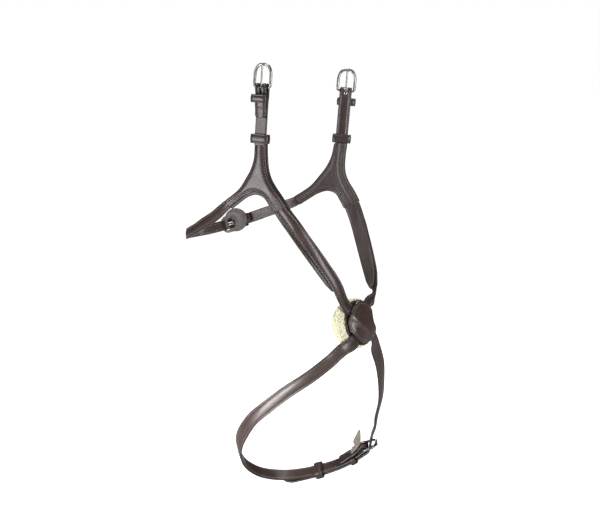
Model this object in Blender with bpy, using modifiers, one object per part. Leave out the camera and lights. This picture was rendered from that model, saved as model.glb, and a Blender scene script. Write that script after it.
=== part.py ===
"""A Mexican grackle (figure-eight) noseband: leather straps, steel buckles and a sheepskin nose pad.

Lengths are in millimetres until a mesh is made. +Z is up, the nose is toward -Y and the horse's left
is +X. The origin is midway between the bars of the two cheek buckles, where the headpiece holds it.
"""

import math

import bmesh
import bpy
import numpy as np
from mathutils import Matrix, Vector

MM = 0.001
GAP = 0.3
LEATHER = 2.4
LINING = 3.0
EDGE_ROUND = 0.5
ROW_STEP = 7.0
ROW_TURN = math.radians(20)

CHEEK_WIDTH = 14.3
NOSE_WIDTH = 14.0
NOSE_LINING_WIDTH = 19.0
JAW_WIDTH = 12.6
CHIN_WIDTH = 15.5

WIRE_RADIUS = 1.5
TONGUE_RADIUS = 1.0
RING_RADIUS = WIRE_RADIUS + GAP + TONGUE_RADIUS
FOLD_RADIUS = WIRE_RADIUS + 0.45
KEEPER_WALL = 1.2
SLOT_WIDTH = 2 * (TONGUE_RADIUS + 0.7)

# Cheekpieces: the bar's centre, the fork's place below it, the directions forward along the cheek
# and out of it, how much the fork leans back and how far forward the fixed keeper sits.
RIGHT = {
    "name": "right",
    "bar": (-80.0, -3.1, 0.0),
    "fork": (-80.0, 1.6, 0.0),
    "forward": (0.17365, -0.98481, 0.0),
    "out": (-0.98481, -0.17365, 0.0),
    "lean": 0.0,
    "keeper_forward": -0.6,
}
LEFT = {
    "name": "left",
    "bar": (81.0, -2.4, 0.0),
    "fork": (77.8, 2.3, 0.0),
    "forward": (0.6, -0.8, 0.0),
    "out": (0.8, 0.6, 0.0),
    "lean": 0.155,
    "keeper_forward": 1.8,
}
FORK_TOP = -64.0
CHEEK_INNER = -FOLD_RADIUS - LEATHER
CHEEK_BUCKLE_HALF = 10.0
CHEEK_BUCKLE_LENGTH = 24.9
CHEEK_TURNBACK = 34.0
CHEEK_KEEPER_AT = 12.8
CHEEK_KEEPER_TALL = 9.0
CHEEK_RUNNER_AT = 57.0
CHEEK_RUNNER_TALL = 10.5

# The fork's outline, forward and up from the bar, with the padded lining's edge.
FORK_BACK = [(-8.6, FORK_TOP), (-9.8, -79), (-14.5, -92), (-20.5, -101.5), (-28, -112), (-37, -119.5), (-46, -125.5)]
FORK_ARCH = [(-38, -136), (-28, -129), (-18, -122.5), (-7, -119.5), (2, -122.5), (9, -131), (15.5, -140.5)]
FORK_FRONT = [(33, -131), (25, -119), (18, -110), (12.5, -101), (9.5, -92), (8.0, -79), (7.6, FORK_TOP)]
FORK_LEG_START = (10.0, -112.0)
FORK_LEG_ALONG = (0.5, -0.866)
NOSE_LEG_END = (24.25, -135.75)
JAW_LEG_END = (-42.0, -130.75)
JAW_LEG_ALONG = (-0.795, -0.606)
FORK_FLAT = 12.0
FORK_BEND_RADIUS = 90.0
FACING_INSET = 1.6

# The nose: a cylinder that leans back, with the disc's centre at its front.
NOSE_CENTRE = (0.0, -81.0, -264.0)
NOSE_LEAN = math.radians(11)
NOSE_RADIUS = 150.0
DISC_RADIUS = 26.0
DISC_SHEET = 2.0
UPPER_SLANT = (0.735, -0.678)
LOWER_SLANT = (-0.68, -0.733)
UPPER_STRAP_LIFT = LEATHER + 0.8
PAD_HALF_WIDTH = 41.0
PAD_HALF_HEIGHT = 29.5
PAD_THICKNESS = 9.0

# Chosen points of each strap's inner face, with the direction that its outer face looks in.
RIGHT_NOSE = [
    (-67.5, -39, -157, -0.9, -0.43, 0.05),
    (-58.5, -52, -179, -0.7, -0.70, 0.12),
    (-47.5, -64, -202, -0.5, -0.83, 0.20),
    (-36, -72.5, -222, -0.4, -0.88, 0.22),
]
LEFT_NOSE = [
    (81.5, -20, -155, 0.9, 0.40, -0.10),
    (78, -29, -175, 0.94, 0.25, -0.20),
    (71, -41, -198, 0.93, 0.05, -0.30),
    (60, -55, -220, 0.85, -0.35, -0.30),
    (49.5, -65, -233, 0.7, -0.65, -0.10),
    (36, -71, -241, 0.5, -0.82, 0.10),
]
LEFT_STRAND = [
    (29.8, -80.2, -297, -0.2, -0.97, 0.0),
    (39.8, -79, -315, -0.1, -0.98, 0.0),
    (49, -75, -338, 0.15, -0.98, 0.0),
    (56, -69.5, -361, 0.28, -0.95, 0.0),
    (60.5, -60.9, -383, 0.38, -0.91, -0.12),
    (62.6, -56.6, -398.5, 0.55, -0.8, -0.25),
]
CHIN_LOOP = [
    (-32.6, -78.2, -291.4, -0.45, -0.88, 0.1),
    (-37, -64, -305.2, -0.65, -0.72, -0.15),
    (-44, -51.5, -317.2, -0.75, -0.6, -0.25),
    (-54, -12, -346, -0.88, -0.35, -0.3),
    (-56, 9, -362, -0.92, -0.15, -0.33),
    (-55, 31, -379, -0.93, 0.1, -0.3),
    (-50, 48, -396, -0.9, 0.1, -0.4),
    (-40.3, 62.8, -414, -0.85, 0.42, -0.25),
    (-27.5, 71.5, -431.5, -0.58, 0.7, -0.25),
    (-12.3, 74, -447, -0.2, 0.78, -0.55),
    (5.5, 67.5, -458.5, 0.2, 0.65, -0.73),
    (24, 51, -463, 0.4, 0.5, -0.77),
    (37, 29, -460, 0.5, 0.33, -0.8),
    (46.5, 9.5, -454, 0.56, 0.18, -0.8),
    (54.5, -10.5, -445.5, 0.57, 0.03, -0.82),
    (61, -28.5, -435.5, 0.52, -0.14, -0.84),
    (65, -43.5, -425, 0.45, -0.3, -0.84),
]
JAW_LOOP = [
    (37.5, 60, -138, 0.93, 0.35, 0.0),
    (31, 84, -146.5, 0.96, 0.26, 0.0),
    (25.5, 104, -153.5, 0.96, 0.28, 0.0),
    (20.5, 121, -159, 0.94, 0.33, 0.0),
    (13.5, 137, -164, 0.88, 0.47, 0.0),
    (1, 149, -168, 0.5, 0.86, 0.0),
    (-19, 155, -171, -0.05, 1.0, 0.0),
    (-38, 144.5, -171, -0.55, 0.83, 0.0),
    (-52.5, 127, -167, -0.78, 0.62, 0.0),
    (-63, 109, -162, -0.88, 0.47, 0.0),
    (-73.5, 88.5, -154.5, -0.95, 0.3, 0.0),
    (-79, 66.5, -145, -0.99, 0.1, 0.0),
]
JAW_BAR = (20.5, 121, -159)

# Keepers, guards and tails, along the strap from the buckle's bar.
CHIN_BUCKLE_LENGTH = 15.5
CHIN_KEEPER_AT = 20.0
CHIN_RUNNER_AT = 66.0
CHIN_TAIL = 112.0
JAW_BUCKLE_LENGTH = 17.5
JAW_KEEPER_AT = 11.5
JAW_TAIL = 52.0
BUCKLE_TILT = math.radians(14)
TAIL_LIFT = LEATHER + 0.8
CHIN_STEEP = math.radians(43)
JAW_STEEP = math.radians(32)
TONGUE_MEETS = (4.8, 2.2)
LEG_LEAD = 6.0
LEG_GAP = 1.25
GUARD_HALF_LONG = 15.2
GUARD_HALF_TALL = 14.2
GUARD_THICKNESS = 3.0
GUARD_LIFT = -9.6
GUARD_CENTRE = -6.0
GUARD_RISE = 2.0


def clear_scene():
    for thing in list(bpy.data.objects):
        bpy.data.objects.remove(thing)


def new_collection(name):
    collection = bpy.data.collections.new(name)
    bpy.context.scene.collection.children.link(collection)
    return collection


def make_material(name, colour, roughness, metallic=0.0):
    material = bpy.data.materials.new(name)
    material.use_nodes = True
    shader = material.node_tree.nodes["Principled BSDF"]
    shader.inputs["Base Color"].default_value = (*colour, 1.0)
    shader.inputs["Roughness"].default_value = roughness
    shader.inputs["Metallic"].default_value = metallic
    material.diffuse_color = (*colour, 1.0)
    return material


def unit(vectors):
    return vectors / np.linalg.norm(vectors, axis=-1, keepdims=True)


def smooth_curve(rows, step):
    """Rows about every step millimetres along a smooth curve through the given rows."""
    rows = np.array(rows, float)
    spacing = np.linalg.norm(np.diff(rows[:, :3], axis=0), axis=1)
    chord = np.concatenate([[0.0], np.cumsum(spacing)])
    slopes = np.gradient(rows, chord, axis=0)
    where = np.linspace(0, chord[-1], int(chord[-1] / step) + 2)
    index = np.clip(np.searchsorted(chord, where, side="right") - 1, 0, len(rows) - 2)
    span = (chord[index + 1] - chord[index])[:, None]
    u = (where - chord[index])[:, None] / span
    start = (2 * u**3 - 3 * u**2 + 1) * rows[index] + (u**3 - 2 * u**2 + u) * span * slopes[index]
    end = (3 * u**2 - 2 * u**3) * rows[index + 1] + (u**3 - u**2) * span * slopes[index + 1]
    return start + end


class Route:
    """A strap's inner face: a smooth centreline with the outward direction at every point."""

    def __init__(self, rows):
        dense = smooth_curve(rows, 0.4)
        self.place = dense[:, :3]
        steps = np.linalg.norm(np.diff(self.place, axis=0), axis=1)
        self.reach = np.concatenate([[0.0], np.cumsum(steps)])
        self.length = self.reach[-1]
        self.along = unit(np.gradient(self.place, self.reach, axis=0))
        leaning = dense[:, 3:]
        self.out = unit(leaning - (leaning * self.along).sum(1)[:, None] * self.along)

    def at(self, s):
        """Place, direction and outward direction at a distance along the route."""
        read = [np.interp(s, self.reach, column) for block in (self.place, self.along, self.out)
                for column in block.T]
        return np.array(read[:3]), unit(np.array(read[3:6])), unit(np.array(read[6:]))

    def nearest(self, point):
        return self.reach[np.argmin(np.linalg.norm(self.place - np.array(point), axis=1))]

    def stations(self, start, end):
        """Distances close enough together to follow every bend."""
        found = [start]
        heading = self.at(start)[1]
        for s in self.reach[(self.reach > start) & (self.reach < end - 0.5)]:
            now = self.at(s)[1]
            turned = math.acos(min(1.0, float(heading @ now)))
            if s - found[-1] >= ROW_STEP or turned >= ROW_TURN:
                found.append(s)
                heading = now
        return found + [end]

    def frame(self, s, lift=0.0, across=0.0):
        """A matrix in metres: X across the strap, Y along it and Z out of it."""
        place, along, out = self.at(s)
        side = np.cross(along, out)
        place = place + lift * out + across * side
        return frame_matrix(place, along, out)


def frame_matrix(place, along, out):
    side = np.cross(along, out)
    matrix = Matrix([(*row, 0.0) for row in np.array([side, along, out]).T] + [(0, 0, 0, 1)])
    matrix.translation = Vector(place) * MM
    return matrix


def cheek_frame(side):
    """The bar's centre and the directions up and out of the cheek strap, which leans to its fork."""
    bar = np.array(side["bar"])
    foot = np.array(side["fork"]) + np.array((0.0, 0.0, FORK_TOP))
    out = np.array(side["out"])
    rise = bar - foot
    return bar, unit(rise - (rise @ out) * out), out


def add_object(name, mesh, material, collection, matrix=None):
    thing = bpy.data.objects.new(name, mesh)
    collection.objects.link(thing)
    if matrix is not None:
        thing.matrix_world = matrix
    mesh.materials.append(material)
    return thing


def finish_mesh(name, bm):
    mesh = bpy.data.meshes.new(name)
    bm.to_mesh(mesh)
    bm.free()
    mesh.shade_smooth()
    mesh.set_sharp_from_angle(angle=math.radians(35))
    return mesh


def thicken(thing, thickness, edge=EDGE_ROUND, offset=1.0):
    solidify = thing.modifiers.new("thickness", "SOLIDIFY")
    solidify.thickness = thickness * MM
    solidify.offset = offset
    bevel = thing.modifiers.new("rounded edges", "BEVEL")
    bevel.width = edge * MM
    bevel.segments = 1
    bevel.limit_method = "ANGLE"
    bevel.angle_limit = math.radians(50)


def sheet(name, columns, rows, shape, material, collection):
    """An open grid whose corners, from -1 to 1 both ways, are placed by the function shape."""
    bm = bmesh.new()
    bmesh.ops.create_grid(bm, x_segments=columns, y_segments=rows, size=1)
    for corner in bm.verts:
        corner.co = Vector(shape(corner.co.x, corner.co.y)) * MM
    return add_object(name, finish_mesh(name, bm), material, collection)


def strap(name, route, start, end, widths, lift, thickness, material, collection):
    """A strap along a route, lift above its surface. Widths are (distance, width) pairs."""
    stations = route.stations(start, end)
    last = len(stations) - 1
    at, wide = zip(*widths)

    def shape(u, v):
        s = stations[round((u + 1) / 2 * last)]
        place, along, out = route.at(s)
        half = np.interp(s, at, wide) / 2
        return place + lift * out + v * half * np.cross(out, along)

    thing = sheet(name, last, 2, shape, material, collection)
    thicken(thing, thickness)
    return thing


def cut(thing, matrix, size, cutters):
    """Cuts a box, its size in millimetres, through a piece."""
    bm = bmesh.new()
    bmesh.ops.create_cube(bm, size=1)
    bmesh.ops.scale(bm, vec=Vector(size) * MM, verts=bm.verts)
    mesh = bpy.data.meshes.new(thing.name + "_cutter")
    bm.to_mesh(mesh)
    bm.free()
    box = bpy.data.objects.new(thing.name + "_cutter", mesh)
    cutters.objects.link(box)
    box.matrix_world = matrix
    box.hide_render = True
    box.display_type = "WIRE"
    boolean = thing.modifiers.new("cut", "BOOLEAN")
    boolean.object = box
    boolean.operation = "DIFFERENCE"
    boolean.solver = "EXACT"


def fold_rows(route, bar_at, profile):
    """Rows of a strap that turns round the bar and comes back on the inside, as (back, out) pairs."""
    rows = []
    for back in (12, 6, 2, 0):
        place, _, out = route.at(bar_at - back)
        rows.append((*place, *out))
    place, along, out = route.at(bar_at)
    bar = place - FOLD_RADIUS * out
    for degrees in range(30, 181, 30):
        turn = math.radians(degrees)
        facing = math.sin(turn) * along + math.cos(turn) * out
        rows.append((*(bar + FOLD_RADIUS * facing), *facing))
    for back, height in profile:
        place, _, out = route.at(bar_at - back)
        rows.append((*(place + height * out), *(-out)))
    return rows


def band(name, matrix, half_width, inner, outer, tall, material, collection):
    """A closed leather loop about the matrix's Y axis, open between inner and outer on its Z axis."""
    bm = bmesh.new()
    bmesh.ops.create_cone(bm, cap_ends=False, segments=28, radius1=1, radius2=1, depth=tall * MM)
    middle = (inner + outer) / 2
    half_depth = (outer - inner) / 2
    for corner in bm.verts:
        x, y, z = corner.co
        across = math.copysign(abs(x) ** (1 / 3), x) * half_width
        height = middle + math.copysign(abs(y) ** (1 / 3), y) * half_depth
        corner.co = (across * MM, -z, height * MM)
    thing = add_object(name, finish_mesh(name, bm), material, collection, matrix)
    thicken(thing, KEEPER_WALL, edge=0.35)
    return thing


def wire(name, points, radius, cyclic, material, collection, matrix):
    curve = bpy.data.curves.new(name, "CURVE")
    curve.dimensions = "3D"
    curve.bevel_depth = radius * MM
    curve.bevel_resolution = 2
    curve.use_fill_caps = not cyclic
    spline = curve.splines.new("POLY")
    spline.points.add(len(points) - 1)
    for target, point in zip(spline.points, points):
        target.co = (*(Vector(point) * MM), 1.0)
    spline.use_cyclic_u = cyclic
    curve.materials.append(material)
    thing = bpy.data.objects.new(name, curve)
    collection.objects.link(thing)
    thing.matrix_world = matrix
    return thing


def buckle(name, matrix, half, length, material, collection):
    """A buckle frame: a straight bar on the matrix's X axis and a rounded front."""
    corner = 2.5
    foot = [(-half + corner, 0, 0), (half - corner, 0, 0), (half - 0.7, 0.7, 0)]
    arch = []
    for step in range(13):
        turn = math.pi * step / 12
        c, s = math.cos(turn), math.sin(turn)
        reach = half * math.copysign(abs(c) ** 0.75, c)
        arch.append((reach, corner + (length - corner) * (0.35 + 0.65 * s**0.75) if s > 0.01 else corner, 0))
    sides = [arch[0]] + arch[1:-1] + [arch[-1]]
    return wire(name, foot + sides + [(-half + 0.7, 0.7, 0)], WIRE_RADIUS, True, material, collection, matrix)


def tongue(name, frame, length, material, collection):
    """A buckle tongue: a ring round the bar and a shank that rests on the buckle's front."""
    ring = []
    for degrees in range(250, -1, -25):
        turn = math.radians(degrees)
        ring.append((0, -RING_RADIUS * math.sin(turn), RING_RADIUS * math.cos(turn)))
    shank = [(0, length * 0.5, RING_RADIUS), (0, length + WIRE_RADIUS, RING_RADIUS)]
    thing = wire(name, ring + shank, TONGUE_RADIUS, False, material, collection, frame.matrix_world)
    thing.parent = frame
    thing.matrix_parent_inverse = frame.matrix_world.inverted()
    return thing


def cheek_strap(side, material, collection, cutters):
    """Comes up on the inside, turns round the bar and is stitched down on the outside."""
    bar, up, out = cheek_frame(side)
    profile = [(FORK_TOP + GAP, -FOLD_RADIUS), (-40, -FOLD_RADIUS), (-20, -FOLD_RADIUS), (0, -FOLD_RADIUS)]
    rows = [(*(bar + z * up + n * out), *(-out)) for z, n in profile]
    for degrees in range(150, -1, -30):
        turn = math.radians(degrees)
        facing = math.sin(turn) * up + math.cos(turn) * out
        rows.append((*(bar + FOLD_RADIUS * facing), *facing))
    turned_back = [(-4, 1.3), (-8, 0.3), (-13, 0.1), (-19, 0.1), (-25, -1.3), (-CHEEK_TURNBACK, -1.6)]
    rows += [(*(bar + z * up + n * out), *out) for z, n in turned_back]
    route = Route(rows)
    widths = [(0, CHEEK_WIDTH), (route.length - 3, CHEEK_WIDTH), (route.length, CHEEK_WIDTH - 2)]
    thing = strap(side["name"] + "_cheek_strap", route, 0, route.length, widths, 0, LEATHER, material, collection)
    slot = frame_matrix(bar, up, out) @ Matrix.Translation(Vector((0, -0.5, 0)) * MM)
    cut(thing, slot, (SLOT_WIDTH, 13, 16), cutters)


def fork_place(side, forward, up, out):
    """The fork's own flat place, with the nose leg bent in and the left stem leaning back."""
    start, along = FORK_LEG_START, FORK_LEG_ALONG
    reach = (forward - start[0]) * along[0] + (up - start[1]) * along[1]
    depth = max(0.0, reach - FORK_FLAT) ** 2 / (2 * FORK_BEND_RADIUS)
    forward += side["lean"] * min(0.0, up - FORK_TOP)
    place = np.array(side["fork"]) + forward * np.array(side["forward"]) + (out - depth) * np.array(side["out"])
    return place + np.array((0, 0, up))


def leg_rows(side, end, along):
    """Two rows that start a strap's route in line with a leg of the fork, LEG_LEAD before its end."""
    rows = []
    for reach in (-LEG_LEAD, 0.0):
        place = fork_place(side, end[0] + reach * along[0], end[1] + reach * along[1], CHEEK_INNER)
        rows.append((*place, *side["out"]))
    return rows


def inset_edge(points, inset):
    """A smooth edge through the points, moved in by inset; the leather is on its left."""
    curve = smooth_curve([(x, y, 0) for x, y in points], 4.0)[:, :2]
    heading = unit(np.gradient(curve, axis=0))
    inward = np.column_stack([-heading[:, 1], heading[:, 0]])
    return curve + inset * inward


def fork_plate(name, side, inset, inner, thickness, material, collection):
    edges = [inset_edge(edge, inset) for edge in (FORK_BACK, FORK_ARCH, FORK_FRONT)]
    outline = np.concatenate(edges)
    curve = bpy.data.curves.new(name, "CURVE")
    curve.dimensions = "2D"
    curve.fill_mode = "BOTH"
    curve.extrude = thickness / 2
    spline = curve.splines.new("POLY")
    spline.points.add(len(outline) - 1)
    for target, point in zip(spline.points, outline):
        target.co = (point[0], point[1], 0, 1)
    spline.use_cyclic_u = True
    flat = bpy.data.objects.new(name + "_outline", curve)
    collection.objects.link(flat)
    depsgraph = bpy.context.evaluated_depsgraph_get()
    flat_mesh = bpy.data.meshes.new_from_object(flat.evaluated_get(depsgraph))
    bm = bmesh.new()
    bm.from_mesh(flat_mesh)
    bpy.data.objects.remove(flat)
    bmesh.ops.remove_doubles(bm, verts=bm.verts, dist=0.0001)
    bmesh.ops.dissolve_limit(bm, angle_limit=math.radians(1), verts=bm.verts, edges=bm.edges)
    for reach in range(int(FORK_FLAT), 32, 5):
        place = (FORK_LEG_START[0] + reach * FORK_LEG_ALONG[0], FORK_LEG_START[1] + reach * FORK_LEG_ALONG[1], 0)
        everything = bm.verts[:] + bm.edges[:] + bm.faces[:]
        bmesh.ops.bisect_plane(bm, geom=everything, dist=1e-5, plane_co=place, plane_no=(*FORK_LEG_ALONG, 0))
    for corner in bm.verts:
        forward, up, level = corner.co
        corner.co = Vector(fork_place(side, forward, up, inner + thickness / 2 + level)) * MM
    if bm.calc_volume(signed=True) < 0:
        bmesh.ops.reverse_faces(bm, faces=bm.faces)
    thing = add_object(name, finish_mesh(name, bm), material, collection)
    bevel = thing.modifiers.new("rounded edges", "BEVEL")
    bevel.width = 0.7 * MM
    bevel.segments = 2
    bevel.limit_method = "ANGLE"
    bevel.angle_limit = math.radians(50)
    return thing


def build_cheek(side, leather, lining_leather, steel, collection, cutters):
    name = side["name"]
    matrix = frame_matrix(*cheek_frame(side))
    forward_sign = 1 if name == "right" else -1
    cheek_strap(side, leather, collection, cutters)
    frame = buckle(name + "_cheek_buckle", matrix, CHEEK_BUCKLE_HALF, CHEEK_BUCKLE_LENGTH, steel, collection)
    tongue(name + "_cheek_buckle_tongue", frame, CHEEK_BUCKLE_LENGTH, steel, collection)
    half = CHEEK_WIDTH / 2 + 0.9
    shift = forward_sign * side["keeper_forward"]
    keeper_at = matrix @ Matrix.Translation(Vector((shift, -CHEEK_KEEPER_AT, 0)) * MM)
    keeper_half = half + abs(shift)
    band(name + "_cheek_keeper", keeper_at, keeper_half, -0.35, 6.7, CHEEK_KEEPER_TALL, leather, collection)
    runner_at = matrix @ Matrix.Translation(Vector((0, -CHEEK_RUNNER_AT, 0)) * MM)
    band(name + "_cheek_runner", runner_at, half + 1.7, -5.8, 0.8, CHEEK_RUNNER_TALL, leather, collection)
    fork_plate(name + "_fork_facing", side, FACING_INSET, CHEEK_INNER, LEATHER, leather, collection)
    lining_inner = CHEEK_INNER - GAP - LINING
    fork_plate(name + "_fork_lining", side, 0.0, lining_inner, LINING, lining_leather, collection)


def nose_place(across, up, lift):
    """A point on the nose and the direction out of it; across and up are measured on its surface."""
    turn = across / NOSE_RADIUS
    rise = np.array((0.0, math.sin(NOSE_LEAN), math.cos(NOSE_LEAN)))
    front = np.array((0.0, -math.cos(NOSE_LEAN), math.sin(NOSE_LEAN)))
    out = math.sin(turn) * np.array((1.0, 0.0, 0.0)) + math.cos(turn) * front
    centre = np.array(NOSE_CENTRE) - NOSE_RADIUS * front
    return centre + up * rise + (NOSE_RADIUS + lift) * out, out


def fade(value, start, end):
    """1 up to start, 0 past end and smooth between them."""
    t = min(1.0, max(0.0, (value - start) / (end - start)))
    return 1 - t * t * (3 - 2 * t)


def upper_lift(distance):
    """The upper strap's rise over the lower one, by its distance from the disc's centre."""
    return UPPER_STRAP_LIFT * fade(abs(distance), 9, 25)


def crossing_rows(slant, lift):
    """Rows where a strap runs straight down through the disc, along the slant across and up."""
    rows = []
    for distance in (-27, -20, -13.5, -7, 0, 7, 13.5, 20, 27):
        place, out = nose_place(slant[0] * distance, slant[1] * distance, lift(distance))
        rows.append((*place, *out))
    return rows


def round_grid(u, v):
    """The square from -1 to 1 mapped onto the unit disc."""
    return u * math.sqrt(1 - v * v / 2), v * math.sqrt(1 - u * u / 2)


def strap_cover(across, up):
    """How far the disc's front must stand off to clear the straps that cross inside it."""
    top = LEATHER + 3 * GAP
    heights = [0.5 + 5.6 * (1 - ((across * across + up * up) / DISC_RADIUS**2) ** 2)]
    for slant, lift in ((LOWER_SLANT, 0.0), (UPPER_SLANT, UPPER_STRAP_LIFT)):
        distance = slant[0] * across + slant[1] * up
        off = abs(slant[1] * across - slant[0] * up)
        rise = top + lift * fade(abs(distance), 11, 30)
        heights.append(0.3 + (rise - 0.3) * fade(off, NOSE_WIDTH / 2 + 1.0, 23))
    return sum(height**6 for height in heights) ** (1 / 6) + 0.1


def build_disc(leather, wool, collection):
    def front(u, v):
        x, y = round_grid(u, v)
        across, up = x * DISC_RADIUS, y * DISC_RADIUS
        return nose_place(across, up, strap_cover(across, up))[0]

    def back(u, v):
        x, y = round_grid(u, v)
        return nose_place(x * DISC_RADIUS, y * DISC_RADIUS, -DISC_SHEET - 0.2)[0]

    def pad(u, v):
        x, y = round_grid(u, v)
        return nose_place(x * PAD_HALF_WIDTH, y * PAD_HALF_HEIGHT, -DISC_SHEET - 0.5 - PAD_THICKNESS)[0]

    thicken(sheet("nose_disc_front", 22, 22, front, leather, collection), DISC_SHEET)
    thicken(sheet("nose_disc_back", 12, 12, back, leather, collection), DISC_SHEET)
    thicken(sheet("sheepskin_pad", 14, 12, pad, wool, collection), PAD_THICKNESS, edge=2.5)


def tail_rows(route, bar_at, steep, ahead, tail, droop):
    """A billet's rows: up through the buckle at a steep angle, over its bar and back to the tail.

    Ahead holds (distance along, height) pairs in the bar's own plane; droop is how far the tail hangs.
    """
    place, along, out = route.at(bar_at)
    facing = math.sin(steep) * along + math.cos(steep) * out
    rows = [(*(place + t * along + n * out), *facing) for t, n in ahead]
    bar = place - FOLD_RADIUS * out
    for degrees in (math.degrees(steep) * 0.6, 0):
        turn = math.radians(degrees)
        facing = math.sin(turn) * along + math.cos(turn) * out
        rows.append((*(bar + (FOLD_RADIUS + TAIL_LIFT) * facing), *facing))
    for back in range(6, int(tail) + 1, 8):
        there, _, outward = route.at(bar_at - back)
        hang = droop * max(0.0, back / tail - 0.6) ** 2 / 0.16
        rows.append((*(there + (TAIL_LIFT + hang) * outward - (0, 0, hang / 2)), *outward))
    return rows


def buckle_up(name, route, bar_at, half, length, steel, collection):
    """A tilted buckle and its tongue, on a bar under the strap's turned end."""
    matrix = route.frame(bar_at, -FOLD_RADIUS) @ Matrix.Rotation(BUCKLE_TILT, 4, "X")
    frame = buckle(name + "_buckle", matrix, half, length, steel, collection)
    tongue(name + "_buckle_tongue", frame, length, steel, collection)
    return matrix


def tongue_hole(thing, route, bar_at, steep, cutters):
    """The hole that lets the tongue through a billet."""
    place, along, out = route.at(bar_at)
    matrix = frame_matrix(place + TONGUE_MEETS[0] * along + TONGUE_MEETS[1] * out, along, out)
    cut(thing, matrix @ Matrix.Rotation(-steep, 4, "X"), (SLOT_WIDTH, 7.5, 9), cutters)


def tongue_slot(thing, route, bar_at, cutters):
    """The slot across the fold that lets the tongue's ring turn."""
    cut(thing, route.frame(bar_at - 0.5, -FOLD_RADIUS), (SLOT_WIDTH, 13, 14), cutters)


def build_crossing_straps(leather, lining_leather, steel, collection, cutters):
    left_rows = leg_rows(LEFT, NOSE_LEG_END, FORK_LEG_ALONG) + LEFT_NOSE + crossing_rows(LOWER_SLANT, lambda distance: 0.0) + CHIN_LOOP
    chin = Route(left_rows)
    bar_at = chin.length
    turned_back = [(5, -3.2), (12, -2.1), (16, -1.9), (24, -1.9), (30, -0.7), (37, -0.4)]
    buckle_strap = Route(left_rows[:-1] + fold_rows(chin, bar_at, turned_back))
    end = buckle_strap.length
    widths = [(0, NOSE_WIDTH), (150, NOSE_WIDTH), (210, CHIN_WIDTH), (end, CHIN_WIDTH)]
    left = strap("left_crossing_strap", buckle_strap, LEG_LEAD + LEG_GAP, end, widths, GAP, LEATHER, leather, collection)
    tongue_slot(left, chin, bar_at, cutters)

    ahead = [(17, -11.0), (11, -5.4), (7, -1.8)]
    right_rows = leg_rows(RIGHT, NOSE_LEG_END, FORK_LEG_ALONG) + RIGHT_NOSE
    right_rows += crossing_rows(UPPER_SLANT, upper_lift) + LEFT_STRAND
    billet = Route(right_rows + tail_rows(chin, bar_at, CHIN_STEEP, ahead, CHIN_TAIL, 3.0))
    end = billet.length
    widths = [(0, NOSE_WIDTH), (150, NOSE_WIDTH), (200, CHIN_WIDTH), (end - 9, CHIN_WIDTH), (end, 5)]
    right = strap("right_crossing_strap", billet, LEG_LEAD + LEG_GAP, end, widths, GAP, LEATHER, leather, collection)
    tongue_hole(right, chin, bar_at, CHIN_STEEP, cutters)

    for name, route, stop in (("right", billet, 118.0), ("left", buckle_strap, 118.0)):
        widths = [(0, NOSE_LINING_WIDTH), (stop - 14, NOSE_LINING_WIDTH - 2), (stop, 8)]
        strap(name + "_nose_lining", route, LEG_LEAD + LEG_GAP, stop, widths, -LINING, LINING, lining_leather, collection)
    return chin, bar_at


def build_chin_buckle(chin, bar_at, leather, steel, collection):
    half = CHIN_WIDTH / 2 + 1.2 + WIRE_RADIUS
    buckle_up("chin", chin, bar_at, half, CHIN_BUCKLE_LENGTH, steel, collection)
    inside = CHIN_WIDTH / 2 + 1.3
    for name, back, tall, deep in (("chin_keeper", CHIN_KEEPER_AT, 8.0, 6.6), ("chin_runner", CHIN_RUNNER_AT, 10.0, 7.3)):
        inner = -0.3 if name == "chin_keeper" else -1.6
        band(name, chin.frame(bar_at - back), inside, inner, deep, tall, leather, collection)
    place, along, out = chin.at(bar_at)
    bar = place - FOLD_RADIUS * out
    up = np.array((0.0, 0.0, 1.0))
    rows = []
    for back, height in ((16, -5.6), (10, -6.4)):
        there, _, outward = chin.at(bar_at - back)
        rows.append((*(there + height * outward), *(-outward)))
    rows.append((*(bar - 5 * along - 6.6 * out + 6.0 * up), -0.7, -0.3, 0.6))
    rows.append((*(bar - 2 * along - 6.5 * out + 17.0 * up), -0.85, -0.5, 0.1))
    leaf = Route(rows)
    widths = [(0, 12), (10, 12), (leaf.length, 1.6)]
    strap("chin_buckle_guard", leaf, 0, leaf.length, widths, 0, 1.6, leather, collection)


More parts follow.
